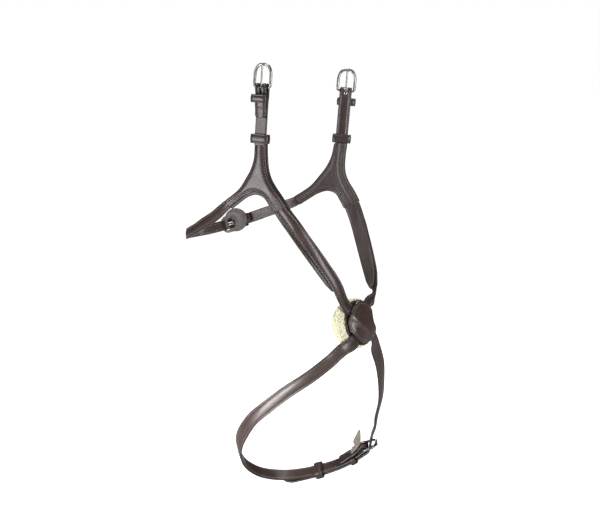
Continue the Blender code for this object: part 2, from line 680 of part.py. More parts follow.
def build_jaw(leather, steel, collection, cutters):
    rows = leg_rows(LEFT, JAW_LEG_END, JAW_LEG_ALONG) + JAW_LOOP
    rows += reversed(leg_rows(RIGHT, JAW_LEG_END, JAW_LEG_ALONG))
    jaw = Route(rows)
    bar_at = jaw.nearest(JAW_BAR)
    before_bar = [row for row in rows if jaw.nearest(row[:3]) < bar_at - 1]
    turned_back = [(4, -3.1), (8, -2.1), (15, -2.0), (19, -0.7), (22, -0.4)]
    buckle_strap = Route(before_bar + fold_rows(jaw, bar_at, turned_back))
    end = buckle_strap.length
    widths = [(0, 13.6), (40, JAW_WIDTH), (end, JAW_WIDTH)]
    left = strap("jaw_buckle_strap", buckle_strap, LEG_LEAD + LEG_GAP, end, widths, GAP, LEATHER, leather, collection)
    tongue_slot(left, jaw, bar_at, cutters)

    after_bar = list(reversed([row for row in rows if jaw.nearest(row[:3]) > bar_at + 50]))
    for distance, height in ((42, -1.5), (32, -4.0), (24, -5.5)):
        place, _, out = jaw.at(bar_at + distance)
        after_bar.append((*(place + height * out), *out))
    ahead = [(16, -5.6), (11, -3.0), (6.5, 0.1)]
    billet = Route(after_bar + tail_rows(jaw, bar_at, JAW_STEEP, ahead, JAW_TAIL, 0.0))
    end = billet.length
    widths = [(0, 13.6), (60, 13.0), (80, JAW_WIDTH), (end - 8, JAW_WIDTH), (end, 4)]
    right = strap("jaw_billet", billet, LEG_LEAD + LEG_GAP, end, widths, GAP, LEATHER, leather, collection)
    tongue_hole(right, jaw, bar_at, JAW_STEEP, cutters)

    half = JAW_WIDTH / 2 + 1.2 + WIRE_RADIUS
    buckle_up("jaw", jaw, bar_at, half, JAW_BUCKLE_LENGTH, steel, collection)
    keeper_at = jaw.frame(bar_at - JAW_KEEPER_AT)
    band("jaw_keeper", keeper_at, JAW_WIDTH / 2 + 1.0, -0.3, 6.5, 6.0, leather, collection)

    def guard(u, v):
        x, y = round_grid(u, v)
        place, along, out = jaw.at(bar_at + GUARD_CENTRE + x * GUARD_HALF_LONG)
        return place + GUARD_LIFT * out + (GUARD_RISE + y * GUARD_HALF_TALL) * np.cross(out, along)

    pad = sheet("jaw_buckle_guard", 12, 12, guard, leather, collection)
    thicken(pad, GUARD_THICKNESS, edge=0.9)
    window = jaw.frame(bar_at + 0.6, GUARD_LIFT + GUARD_THICKNESS / 2)
    cut(pad, window, (12.0, 9.0, 12.0), cutters)


def centre_on_bars(collections):
    """Moves everything so that the origin is midway between the bars of the two cheek buckles."""
    middle = (np.array(RIGHT["bar"]) + np.array(LEFT["bar"])) / 2
    for collection in collections:
        for thing in collection.objects:
            if thing.parent is None:
                thing.matrix_world = Matrix.Translation(Vector(-middle) * MM) @ thing.matrix_world


def build():
    clear_scene()
    parts = new_collection("grackle_noseband")
    cutters = new_collection("cutters")
    leather = make_material("bridle leather", (0.075, 0.042, 0.034), 0.42)
    lining_leather = make_material("lining leather", (0.105, 0.066, 0.056), 0.55)
    steel = make_material("stainless steel", (0.72, 0.71, 0.69), 0.22, 1.0)
    wool = make_material("sheepskin", (0.86, 0.82, 0.68), 0.95)
    for side in (RIGHT, LEFT):
        build_cheek(side, leather, lining_leather, steel, parts, cutters)
    build_disc(leather, wool, parts)
    chin, bar_at = build_crossing_straps(leather, lining_leather, steel, parts, cutters)
    build_chin_buckle(chin, bar_at, leather, steel, parts)
    build_jaw(leather, steel, parts, cutters)
    centre_on_bars((parts, cutters))


build()
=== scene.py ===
"""The looks of the grackle noseband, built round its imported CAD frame.

Lengths are in millimetres until a mesh is made. +Z is up, the nose is toward -Y and the horse's left
is +X. The routes and outlines repeat those of the CAD part, with finer sections, stitches and wool.
"""

import math
import random

import bpy
import numpy as np
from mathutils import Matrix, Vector, geometry


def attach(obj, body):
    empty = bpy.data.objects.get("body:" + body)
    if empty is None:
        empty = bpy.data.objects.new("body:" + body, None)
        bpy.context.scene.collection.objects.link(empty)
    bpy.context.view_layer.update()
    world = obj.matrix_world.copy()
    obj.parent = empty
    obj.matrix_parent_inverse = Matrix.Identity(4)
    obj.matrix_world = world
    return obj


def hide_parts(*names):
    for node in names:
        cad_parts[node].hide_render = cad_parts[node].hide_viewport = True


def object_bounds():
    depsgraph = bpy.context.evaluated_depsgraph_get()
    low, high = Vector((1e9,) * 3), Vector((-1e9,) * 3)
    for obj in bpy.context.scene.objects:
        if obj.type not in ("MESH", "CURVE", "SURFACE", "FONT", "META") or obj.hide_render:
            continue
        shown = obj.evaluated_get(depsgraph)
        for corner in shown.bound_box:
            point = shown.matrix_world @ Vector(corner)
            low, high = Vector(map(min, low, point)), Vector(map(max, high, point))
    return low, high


MM = 0.001
GAP = 0.3
LEATHER = 2.4
LINING = 3.0

CHEEK_WIDTH = 14.3
NOSE_WIDTH = 14.0
NOSE_LINING_WIDTH = 19.0
NOSE_LINING_END = 118.0
JAW_WIDTH = 12.6
CHIN_WIDTH = 15.5

WIRE_RADIUS = 1.5
TONGUE_RADIUS = 1.0
RING_RADIUS = WIRE_RADIUS + GAP + TONGUE_RADIUS
FOLD_RADIUS = WIRE_RADIUS + 0.45
KEEPER_WALL = 1.2
SLOT_WIDTH = 2 * (TONGUE_RADIUS + 0.7)

RIGHT = {
    "name": "right",
    "bar": (-80.0, -3.1, 0.0),
    "fork": (-80.0, 1.6, 0.0),
    "forward": (0.17365, -0.98481, 0.0),
    "out": (-0.98481, -0.17365, 0.0),
    "lean": 0.0,
    "keeper_forward": -0.6,
}
LEFT = {
    "name": "left",
    "bar": (81.0, -2.4, 0.0),
    "fork": (77.8, 2.3, 0.0),
    "forward": (0.6, -0.8, 0.0),
    "out": (0.8, 0.6, 0.0),
    "lean": 0.155,
    "keeper_forward": 1.8,
}
CENTRE = (np.array(RIGHT["bar"]) + np.array(LEFT["bar"])) / 2
FORK_TOP = -64.0
CHEEK_INNER = -FOLD_RADIUS - LEATHER
CHEEK_BUCKLE_HALF = 10.0
CHEEK_BUCKLE_LENGTH = 24.9
CHEEK_TURNBACK = 34.0
CHEEK_KEEPER_AT = 12.8
CHEEK_KEEPER_TALL = 9.0
CHEEK_RUNNER_AT = 57.0
CHEEK_RUNNER_TALL = 10.5

FORK_BACK = [
    (-8.6, FORK_TOP), (-9.8, -79), (-14.5, -92), (-20.5, -101.5), (-28, -112), (-37, -119.5), (-46, -125.5),
]
FORK_ARCH = [(-38, -136), (-28, -129), (-18, -122.5), (-7, -119.5), (2, -122.5), (9, -131), (15.5, -140.5)]
FORK_FRONT = [(33, -131), (25, -119), (18, -110), (12.5, -101), (9.5, -92), (8.0, -79), (7.6, FORK_TOP)]
FORK_LEG_START = (10.0, -112.0)
FORK_LEG_ALONG = (0.5, -0.866)
NOSE_LEG_END = (24.25, -135.75)
JAW_LEG_END = (-42.0, -130.75)
JAW_LEG_ALONG = (-0.795, -0.606)
FORK_FLAT = 12.0
FORK_BEND_RADIUS = 90.0
FACING_INSETS = (1.6, 3.0, 0.8)

NOSE_CENTRE = (0.0, -81.0, -264.0)
NOSE_LEAN = math.radians(11)
NOSE_RADIUS = 150.0
DISC_RADIUS = 26.0
DISC_SHEET = 2.0
DOME_RISE = 6.2
UPPER_SLANT = (0.735, -0.678)
LOWER_SLANT = (-0.68, -0.733)
UPPER_STRAP_LIFT = LEATHER + 0.8
PAD_HALF_WIDTH = 41.0
PAD_HALF_HEIGHT = 29.5
PAD_THICKNESS = 9.0
PAD_SEED = 11
LOCKS = 3400

RIGHT_NOSE = [
    (-67.5, -39, -157, -0.9, -0.43, 0.05),
    (-58.5, -52, -179, -0.7, -0.70, 0.12),
    (-47.5, -64, -202, -0.5, -0.83, 0.20),
    (-36, -72.5, -222, -0.4, -0.88, 0.22),
]
LEFT_NOSE = [
    (81.5, -20, -155, 0.9, 0.40, -0.10),
    (78, -29, -175, 0.94, 0.25, -0.20),
    (71, -41, -198, 0.93, 0.05, -0.30),
    (60, -55, -220, 0.85, -0.35, -0.30),
    (49.5, -65, -233, 0.7, -0.65, -0.10),
    (36, -71, -241, 0.5, -0.82, 0.10),
]
LEFT_STRAND = [
    (29.8, -80.2, -297, -0.2, -0.97, 0.0),
    (39.8, -79, -315, -0.1, -0.98, 0.0),
    (49, -75, -338, 0.15, -0.98, 0.0),
    (56, -69.5, -361, 0.28, -0.95, 0.0),
    (60.5, -60.9, -383, 0.38, -0.91, -0.12),
    (62.6, -56.6, -398.5, 0.55, -0.8, -0.25),
]
CHIN_LOOP = [
    (-32.6, -78.2, -291.4, -0.45, -0.88, 0.1),
    (-37, -64, -305.2, -0.65, -0.72, -0.15),
    (-44, -51.5, -317.2, -0.75, -0.6, -0.25),
    (-54, -12, -346, -0.88, -0.35, -0.3),
    (-56, 9, -362, -0.92, -0.15, -0.33),
    (-55, 31, -379, -0.93, 0.1, -0.3),
    (-50, 48, -396, -0.9, 0.1, -0.4),
    (-40.3, 62.8, -414, -0.85, 0.42, -0.25),
    (-27.5, 71.5, -431.5, -0.58, 0.7, -0.25),
    (-12.3, 74, -447, -0.2, 0.78, -0.55),
    (5.5, 67.5, -458.5, 0.2, 0.65, -0.73),
    (24, 51, -463, 0.4, 0.5, -0.77),
    (37, 29, -460, 0.5, 0.33, -0.8),
    (46.5, 9.5, -454, 0.56, 0.18, -0.8),
    (54.5, -10.5, -445.5, 0.57, 0.03, -0.82),
    (61, -28.5, -435.5, 0.52, -0.14, -0.84),
    (65, -43.5, -425, 0.45, -0.3, -0.84),
]
JAW_LOOP = [
    (37.5, 60, -138, 0.93, 0.35, 0.0),
    (31, 84, -146.5, 0.96, 0.26, 0.0),
    (25.5, 104, -153.5, 0.96, 0.28, 0.0),
    (20.5, 121, -159, 0.94, 0.33, 0.0),
    (13.5, 137, -164, 0.88, 0.47, 0.0),
    (1, 149, -168, 0.5, 0.86, 0.0),
    (-19, 155, -171, -0.05, 1.0, 0.0),
    (-38, 144.5, -171, -0.55, 0.83, 0.0),
    (-52.5, 127, -167, -0.78, 0.62, 0.0),
    (-63, 109, -162, -0.88, 0.47, 0.0),
    (-73.5, 88.5, -154.5, -0.95, 0.3, 0.0),
    (-79, 66.5, -145, -0.99, 0.1, 0.0),
]
JAW_BAR = (20.5, 121, -159)

CHIN_BUCKLE_LENGTH = 15.5
CHIN_KEEPER_AT = 20.0
CHIN_RUNNER_AT = 66.0
CHIN_TAIL = 112.0
JAW_BUCKLE_LENGTH = 17.5
JAW_KEEPER_AT = 11.5
JAW_TAIL = 52.0
BUCKLE_TILT = math.radians(14)
TAIL_LIFT = LEATHER + 0.8
CHIN_STEEP = math.radians(43)
JAW_STEEP = math.radians(32)
TONGUE_MEETS = (4.8, 2.2)
LEG_LEAD = 6.0
GUARD_HALF_LONG = 15.2
GUARD_HALF_TALL = 14.2
GUARD_THICKNESS = 3.0
GUARD_LIFT = -9.6
GUARD_CENTRE = -6.0
GUARD_RISE = 2.0

# Sections and stitching, in millimetres.
STRAP_STEP = 1.7
STITCH_IN = 2.3
STITCH_PITCH = 3.1
STITCH_LENGTH = 2.2
STITCH_RADIUS = 0.42
DIP = 0.45
TUCK = 1.4
FORK_DIP = 0.25
RAISED = 2.3
PILLOW = 7.0
STRAP_START = LEG_LEAD - 0.25
STITCH_SIDES = 7
GRAIN_WANDER = (0.0012, 0.0012, 0.0012)


def unit(vectors):
    return vectors / np.linalg.norm(vectors, axis=-1, keepdims=True)


def smoothstep(value, start, end):
    t = np.clip((value - start) / (end - start), 0, 1)
    return t * t * (3 - 2 * t)


def distances(points):
    """How far along a line of points each of them is."""
    return np.concatenate([[0.0], np.cumsum(np.linalg.norm(np.diff(points, axis=0), axis=1))])


def smooth_curve(rows, step):
    rows = np.array(rows, float)
    chord = distances(rows[:, :3])
    slopes = np.gradient(rows, chord, axis=0)
    where = np.linspace(0, chord[-1], int(chord[-1] / step) + 2)
    index = np.clip(np.searchsorted(chord, where, side="right") - 1, 0, len(rows) - 2)
    span = (chord[index + 1] - chord[index])[:, None]
    u = (where - chord[index])[:, None] / span
    start = (2 * u**3 - 3 * u**2 + 1) * rows[index] + (u**3 - 2 * u**2 + u) * span * slopes[index]
    end = (3 * u**2 - 2 * u**3) * rows[index + 1] + (u**3 - u**2) * span * slopes[index + 1]
    return start + end


class Route:
    """A strap's inner face: a smooth centreline with the outward direction at every point."""

    def __init__(self, rows):
        dense = smooth_curve(rows, 0.4)
        self.place = dense[:, :3]
        self.reach = distances(self.place)
        self.length = self.reach[-1]
        self.along = unit(np.gradient(self.place, self.reach, axis=0))
        leaning = dense[:, 3:]
        self.out = unit(leaning - (leaning * self.along).sum(1)[:, None] * self.along)

    def at(self, s):
        """Places, directions and outward directions at one or more distances along the route."""
        read = [np.stack([np.interp(s, self.reach, column) for column in block.T], axis=-1)
                for block in (self.place, self.along, self.out)]
        return read[0], unit(read[1]), unit(read[2])

    def nearest(self, point):
        return self.reach[np.argmin(np.linalg.norm(self.place - np.array(point), axis=1))]

    def frame(self, s, lift=0.0):
        place, along, out = self.at(s)
        return frame_matrix(place + lift * out, along, out)


def frame_matrix(place, along, out):
    side = np.cross(along, out)
    matrix = np.eye(4)
    matrix[:3, 0], matrix[:3, 1], matrix[:3, 2], matrix[:3, 3] = side, along, out, place
    return matrix


def moved(matrix, points):
    return np.array(points, float) @ matrix[:3, :3].T + matrix[:3, 3]


def shifted(matrix, x, y, z):
    """The matrix moved by x, y and z along its own axes."""
    result = matrix.copy()
    result[:3, 3] = moved(matrix, [(x, y, z)])[0]
    return result


def turned(matrix, angle):
    """The matrix turned about its own X axis."""
    c, s = math.cos(angle), math.sin(angle)
    turn = np.eye(4)
    turn[1:3, 1:3] = ((c, -s), (s, c))
    return matrix @ turn


def cheek_frame(side):
    bar = np.array(side["bar"])
    foot = np.array(side["fork"]) + np.array((0.0, 0.0, FORK_TOP))
    out = np.array(side["out"])
    rise = bar - foot
    return bar, unit(rise - (rise @ out) * out), out


# ---- making pieces ----

# No sideways shift along a strap: the default aside for sweeps and stitches.
UNSHIFTED = ((0, 0), (1, 0))


def add_piece(name, points, faces, uv, material, stands_for=(), body="straps"):
    """A mesh from millimetre points in the part's own layout, riding on a CAD body."""
    mesh = bpy.data.meshes.new(name)
    points = (np.asarray(points, float) - CENTRE) * MM
    mesh.from_pydata(points.tolist(), [], faces)
    if uv is not None:
        layer = mesh.uv_layers.new(name="strap")
        corners = np.zeros(len(mesh.loops), int)
        mesh.loops.foreach_get("vertex_index", corners)
        layer.data.foreach_set("uv", (np.asarray(uv, float)[corners] * MM).ravel())
    mesh.materials.append(material)
    mesh.validate()
    mesh.shade_smooth()
    mesh.set_sharp_from_angle(angle=math.radians(50))
    thing = bpy.data.objects.new(name, mesh)
    bpy.context.scene.collection.objects.link(thing)
    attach(thing, body)
    if stands_for:
        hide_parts(*stands_for)
    return thing


def top_height(d, half, thickness, crown, stitched, edge):
    """The height of a strap's outer face at a distance d in from its edge."""
    round_off = np.where(d < edge, edge - np.sqrt(np.maximum(0, edge**2 - (edge - d) ** 2)), 0)
    rise = crown * smoothstep(d, STITCH_IN if stitched else 0.5, max(half * 0.85, STITCH_IN + 1))
    dip = DIP * np.exp(-(((d - STITCH_IN) / 0.5) ** 2)) if stitched else 0
    return thickness - round_off + rise - dip


def section(half, thickness, crown, stitched, edge, padded):
    """Across and height pairs once round a strap's cross-section."""
    shrink = min(1.0, half / 5.4)
    near = [shrink * d for d in (0.0, 0.12, 0.35, 0.7, 1.1, 1.6, 1.95, 2.3, 2.65, 3.1, 4.2)]
    top = [(half - d, top_height(d, half, thickness, crown, stitched, edge)) for d in near]
    middle = [(0.33 * half, 0), (0, 0), (-0.33 * half, 0)]
    top += [(a, top_height(half - abs(a), half, thickness, crown, stitched, edge)) for a, _ in middle]
    top += [(-a, h) for a, h in reversed(top[: len(near)])]
    low = [shrink * d for d in (0.0, 0.15, 0.5, 1.0, 2.2, 3.6, 5.0)]
    under = []
    for d in low:
        lower = edge - math.sqrt(max(0, edge**2 - (edge - min(d, edge)) ** 2))
        ridge = padded * bump(d, 3.6, 1.7)
        under.append((-half + d, lower - ridge))
    return np.array(top + under + [(0.0, 0.0)] + [(-a, h) for a, h in reversed(under)])


def ring_faces(rings, around, closed=False, flipped=False):
    """Quads between rings of points, and a cap on the first and last ring unless they're closed."""
    faces = []
    for i in range(rings if closed else rings - 1):
        a, b = i * around, (i + 1) % rings * around
        for j in range(around):
            k = (j + 1) % around
            faces.append((a + j, a + k, b + k, b + j) if flipped else (a + j, b + j, b + k, a + k))
    if not closed:
        last = (rings - 1) * around
        caps = [tuple(range(around)), tuple(reversed(range(last, last + around)))]
        faces += [tuple(reversed(cap)) for cap in caps] if flipped else caps
    return faces


def sweep(name, route, start, end, widths, lift, thickness, material, stands_for, crown=0.0,
          stitched=True, edge=1.0, padded=0.0, step=STRAP_STEP, joined=False, aside=UNSHIFTED):
    """A strap along a route with rounded edges; the UV map holds distance along and in from the edge.

    Widths and aside are pairs of a distance along the route and a value; aside moves the strap
    sideways. A joined strap starts square, because another piece carries on from it.
    """
    count = max(3, int((end - start) / step) + 1)
    s = np.linspace(start, end, count)
    s = np.sort(np.concatenate([s, [start + 0.15, start + 0.5, end - 0.5, end - 0.15]]))
    places, alongs, outs = route.at(s)
    sides = np.cross(alongs, outs)
    places = places + np.interp(s, *zip(*aside))[:, None] * sides
    at, wide = zip(*widths)
    points, uv = [], []
    for i, where in enumerate(s):
        half = np.interp(where, at, wide) / 2
        ring = section(half, thickness, crown, stitched, edge, padded)
        inner = end - where if joined else min(where - start, end - where)
        squeeze = 1.0
        if inner < 0.8:
            squeeze = math.sqrt(max(0.0, 1 - (1 - inner / 0.8) ** 2)) * 0.55 + 0.45
        heights = thickness / 2 + (ring[:, 1] - thickness / 2) * squeeze
        points.append(places[i] + ring[:, :1] * sides[i] + (lift + heights[:, None]) * outs[i])
        uv.append(np.column_stack([np.full(len(ring), where), half - np.abs(ring[:, 0])]))
    faces = ring_faces(len(s), len(ring), flipped=True)
    return add_piece(name, np.concatenate(points), faces, np.concatenate(uv), material, stands_for)


def capsule_rows():
    """One stitch along X: rings of (x, y, z) with unit half length and unit radius."""
    profile = ((0.0, 1.08), (0.55, 0.95), (0.88, 0.62), (1.0, 0.12))
    profile = [(-x, r) for x, r in reversed(profile[1:])] + list(profile)
    rows = []
    for x, r in profile:
        for k in range(STITCH_SIDES):
            turn = 2 * math.pi * k / STITCH_SIDES
            rows.append((x, r * math.cos(turn), r * math.sin(turn)))
    return np.array(rows), ring_faces(len(profile), STITCH_SIDES)


CAPSULE, CAPSULE_FACES = capsule_rows()


def stitches(name, places, alongs, outs):
    """Thread laid at each place, along the direction, with its upper half above the leather."""
    places, alongs, outs = (np.array(block, float) for block in (places, alongs, outs))
    sides = unit(np.cross(outs, alongs))
    outs = unit(np.cross(alongs, sides))
    slanted = unit(alongs + 0.12 * sides)
    crossed = unit(np.cross(outs, slanted))
    x, y, z = (CAPSULE[:, k][None, :, None] for k in range(3))
    points = (places[:, None] + x * STITCH_LENGTH / 2 * slanted[:, None]
              + y * STITCH_RADIUS * crossed[:, None] + z * STITCH_RADIUS * outs[:, None]
              - 0.05 * (x * x) * outs[:, None])
    size = len(CAPSULE)
    faces = [tuple(i * size + v for v in face) for i in range(len(places)) for face in CAPSULE_FACES]
    return add_piece(name, points.reshape(-1, 3), faces, None, THREAD)


def strap_stitches(name, route, start, end, widths, lift=GAP, under=False, aside=UNSHIFTED):
    """Two rows of stitches along a strap's outer face, or along its inner face."""
    count = max(2, int((end - start) / STITCH_PITCH))
    s = start + (np.arange(count) + 0.5) * (end - start) / count
    places, alongs, outs = route.at(s)
    across = np.cross(alongs, outs)
    places = places + np.interp(s, *zip(*aside))[:, None] * across
    half = np.interp(s, *zip(*widths)) / 2
    found = []
    for side in (-1, 1):
        height = lift + (0.02 if under else LEATHER - DIP + 0.08)
        found.append(places + (side * (half - STITCH_IN))[:, None] * across + height * outs)
    places = np.concatenate(found)
    outs = np.concatenate([-outs if under else outs] * 2)
    stitches(name, places, np.concatenate([alongs] * 2), outs)


def open_distance(points, edges):
    """Each point's distance to the nearest of some open edges."""
    best = np.full(len(points), 1e9)
    for edge in edges:
        for start, stop in zip(edge, edge[1:]):
            span = stop - start
            t = np.clip(((points - start) @ span) / max(span @ span, 1e-12), 0, 1)
            best = np.minimum(best, np.linalg.norm(points - start - t[:, None] * span, axis=1))
    return best


def boundary_distance(points, loops):
    """Each point's distance to the nearest closed outline."""
    return open_distance(points, [np.vstack([loop, loop[:1]]) for loop in loops])


def inside(points, loop):
    """Whether each point is inside the outline."""
    a, b = loop, np.roll(loop, -1, axis=0)
    x, y = points[:, 0:1], points[:, 1:2]
    crossing = (a[:, 1] > y) != (b[:, 1] > y)
    rise = np.where(b[:, 1] == a[:, 1], 1e-12, b[:, 1] - a[:, 1])
    return (crossing & (x < (b[:, 0] - a[:, 0]) * (y - a[:, 1]) / rise + a[:, 0])).sum(1) % 2 == 1


def plate(name, outline, holes, spacing, top, bottom, place, material, stands_for, edges=None):
    """A flat cut piece: top and bottom give heights from (x, y, edge distance); place bends it to shape.

    Where edges are given, the edge distance is measured to them alone.
    """
    loops = [np.array(outline, float)] + [np.array(hole, float) for hole in holes]
    rings = []
    for loop, inward in zip(loops, [1] + [-1] * len(holes)):
        ahead = np.roll(loop, -1, axis=0)
        area = np.sum(loop[:, 0] * ahead[:, 1] - ahead[:, 0] * loop[:, 1])
        heading = unit(ahead - np.roll(loop, 1, axis=0))
        normal = np.column_stack([-heading[:, 1], heading[:, 0]]) * (1 if area > 0 else -1) * inward
        for depth in (0.12, 0.35, 0.7, 1.2, 1.8, 2.3, 2.8, 3.6):
            ring = loop + normal * depth
            keep = boundary_distance(ring, loops) > depth * 0.93
            rings.append(ring[keep])
    low, high = loops[0].min(0), loops[0].max(0)
    xs, ys = np.meshgrid(np.arange(low[0], high[0], spacing), np.arange(low[1], high[1], spacing))
    grid = np.column_stack([xs.ravel(), ys.ravel()])
    grid = grid[boundary_distance(grid, loops) > 4.2]
    extra = np.concatenate(rings + [grid])
    keep = inside(extra, loops[0])
    for hole in loops[1:]:
        keep &= ~inside(extra, hole)
    extra = extra[keep]
    points = np.concatenate(loops + [extra])
    segments, first = [], 0
    for loop in loops:
        segments += [(first + i, first + (i + 1) % len(loop)) for i in range(len(loop))]
        first += len(loop)
    made = geometry.delaunay_2d_cdt([Vector(p) for p in points], segments, [], 0, 1e-5)
    flat = np.array([tuple(v) for v in made[0]])
    triangles = [tuple(face) for face in made[2]]
    middle = np.array([flat[list(face)].mean(0) for face in triangles])
    keep = inside(middle, loops[0])
    for hole in loops[1:]:
        keep &= ~inside(middle, hole)
    triangles = [face for face, good in zip(triangles, keep) if good]
    d = boundary_distance(flat, loops) if edges is None else open_distance(flat, edges)
    upper = [place(x, y, top(x, y, e)) for (x, y), e in zip(flat, d)]
    lower = [place(x, y, bottom(x, y, e)) for (x, y), e in zip(flat, d)]
    size = len(flat)
    faces = list(triangles) + [tuple(size + v for v in reversed(face)) for face in triangles]
    used = {}
    for face in triangles:
        for a, b in ((face[0], face[1]), (face[1], face[2]), (face[2], face[0])):
            used[(a, b)] = True
    for a, b in used:
        if (b, a) not in used:
            faces.append((b, a, size + a, size + b))
    uv = np.concatenate([np.column_stack([flat[:, 0], d])] * 2)
    points = np.array(upper + lower)
    a, b, c = (points[[face[k] for face in triangles]] for k in range(3))
    facing = np.cross(b - a, c - a).sum(0)
    above = (points[:size] - points[size:]).sum(0)
    if facing @ above < 0:
        faces = [tuple(reversed(face)) for face in faces]
    return add_piece(name, points, faces, uv, material, stands_for)


def path_stitches(name, path, closed, inset, height, place):
    """Stitches along a 2-D path moved in by inset, at a height on a bent plate."""
    path = np.array(path, float)
    if closed:
        path = np.vstack([path, path[:1]])
    heading = unit(np.gradient(path, axis=0))
    line = path + inset * np.column_stack([-heading[:, 1], heading[:, 0]])
    reach = distances(line)
    count = int(reach[-1] / STITCH_PITCH)
    s = (np.arange(count) + 0.5) * reach[-1] / count
    spots, ahead = (np.column_stack([np.interp(at, reach, column) for column in line.T])
                    for at in (s, s + 0.5))
    places = np.array([place(x, y, height(x, y)) for x, y in spots])
    tips = np.array([place(x, y, height(x, y)) for x, y in ahead])
    over = np.array([place(x, y, height(x, y) + 1) for x, y in spots])
    alongs = tips - places
    good = np.linalg.norm(alongs, axis=1) > 0.05
    stitches(name, places[good], unit(alongs[good]), unit(over - places)[good])


def tube(name, path, radii, closed, matrix, flatten, sides, stands_for, body):
    """A steel wire along a path in the matrix's own axes; flatten squashes it on the matrix's Z."""
    path = np.array(path, float)
    if closed:
        ahead, behind = np.roll(path, -1, axis=0), np.roll(path, 1, axis=0)
        along = unit(ahead - behind)
    else:
        along = unit(np.gradient(path, axis=0))
    reference = np.tile((0.0, 0.0, 1.0) if closed else (1.0, 0.0, 0.0), (len(path), 1))
    up = unit(reference - (reference * along).sum(1)[:, None] * along)
    side = np.cross(along, up)
    radii = np.broadcast_to(radii, len(path))
    points = []
    for k in range(sides):
        turn = 2 * math.pi * k / sides
        ring = path + radii[:, None] * (math.cos(turn) * side + flatten * math.sin(turn) * up)
        points.append(ring)
    points = np.stack(points, axis=1).reshape(-1, 3)
    faces = ring_faces(len(path), sides, closed)
    flip_if_inside_out(add_piece(name, moved(matrix, points), faces, None, STEEL, stands_for, body))


def flip_if_inside_out(thing):
    """Turns a closed mesh's faces outward."""
    mesh = thing.data
    volume = 0.0
    for face in mesh.polygons:
        corners = [mesh.vertices[v].co for v in face.vertices]
        for a, b in zip(corners[1:], corners[2:]):
            volume += corners[0].dot(a.cross(b))
    if volume < 0:
        mesh.flip_normals()


# ---- materials ----


class Shading:
    """Short calls for the nodes of one tree. A number given for a colour is a grey."""

    def __init__(self, tree):
        self.tree = tree

    def put(self, socket, value):
        if isinstance(value, bpy.types.NodeSocket):
            self.tree.links.new(value, socket)
        elif socket.type == "RGBA":
            socket.default_value = (*(value if isinstance(value, tuple) else (value,) * 3), 1.0)
        else:
            socket.default_value = value

    def add(self, kind, **values):
        made = self.tree.nodes.new("ShaderNode" + kind)
        for name, value in values.items():
            self.put(made.inputs[name], value)
        return made

    def noise(self, where, scale, detail=3.0, roughness=0.55):
        made = self.add("TexNoise", Vector=where, Scale=scale, Detail=detail, Roughness=roughness)
        return made.outputs["Fac"]

    def ramp(self, source, stops):
        made = self.add("ValToRGB", Fac=source)
        elements = made.color_ramp.elements
        while len(elements) < len(stops):
            elements.new(0.5)
        for element, (where, colour) in zip(elements, stops):
            element.position = where
            element.color = (*(colour if isinstance(colour, tuple) else (colour,) * 3), 1.0)
        return made.outputs["Color"]

    def maths(self, operation, *values):
        made = self.add("Math")
        made.operation = operation
        for socket, value in zip(made.inputs, values):
            self.put(socket, value)
        return made.outputs["Value"]

    def mix(self, fac, first, second, blend="MIX"):
        made = self.add("Mix")
        made.data_type = "RGBA"
        made.blend_type = blend
        for name, value in (("Factor", fac), ("A", first), ("B", second)):
            self.put(made.inputs[name], value)
        return made.outputs["Result"]

    def speckled(self, colour, source, stops):
        """The colour made darker and lighter by a ramp over the source."""
        return self.mix(1.0, colour, self.ramp(source, stops), "MULTIPLY")

    def separated(self, vector, axis):
        return self.add("SeparateXYZ", Vector=vector).outputs[axis]


class Surface(Shading):
    """A new material, with its shader and its object coordinates."""

    def __init__(self, name):
        self.material = bpy.data.materials.new(name)
        self.material.use_nodes = True
        super().__init__(self.material.node_tree)
        self.shader = self.tree.nodes["Principled BSDF"]
        self.where = self.add("TexCoord").outputs["Object"]

    def finish(self, values, height=None, strength=0.0, distance=0.0):
        """Sets the shader's own sockets, and a bump from the height."""
        for name, value in values.items():
            self.put(self.shader.inputs[name], value)
        if height is not None:
            bump = self.add("Bump", Height=height, Strength=strength, Distance=distance)
            self.put(self.shader.inputs["Normal"], bump.outputs["Normal"])
        return self.material


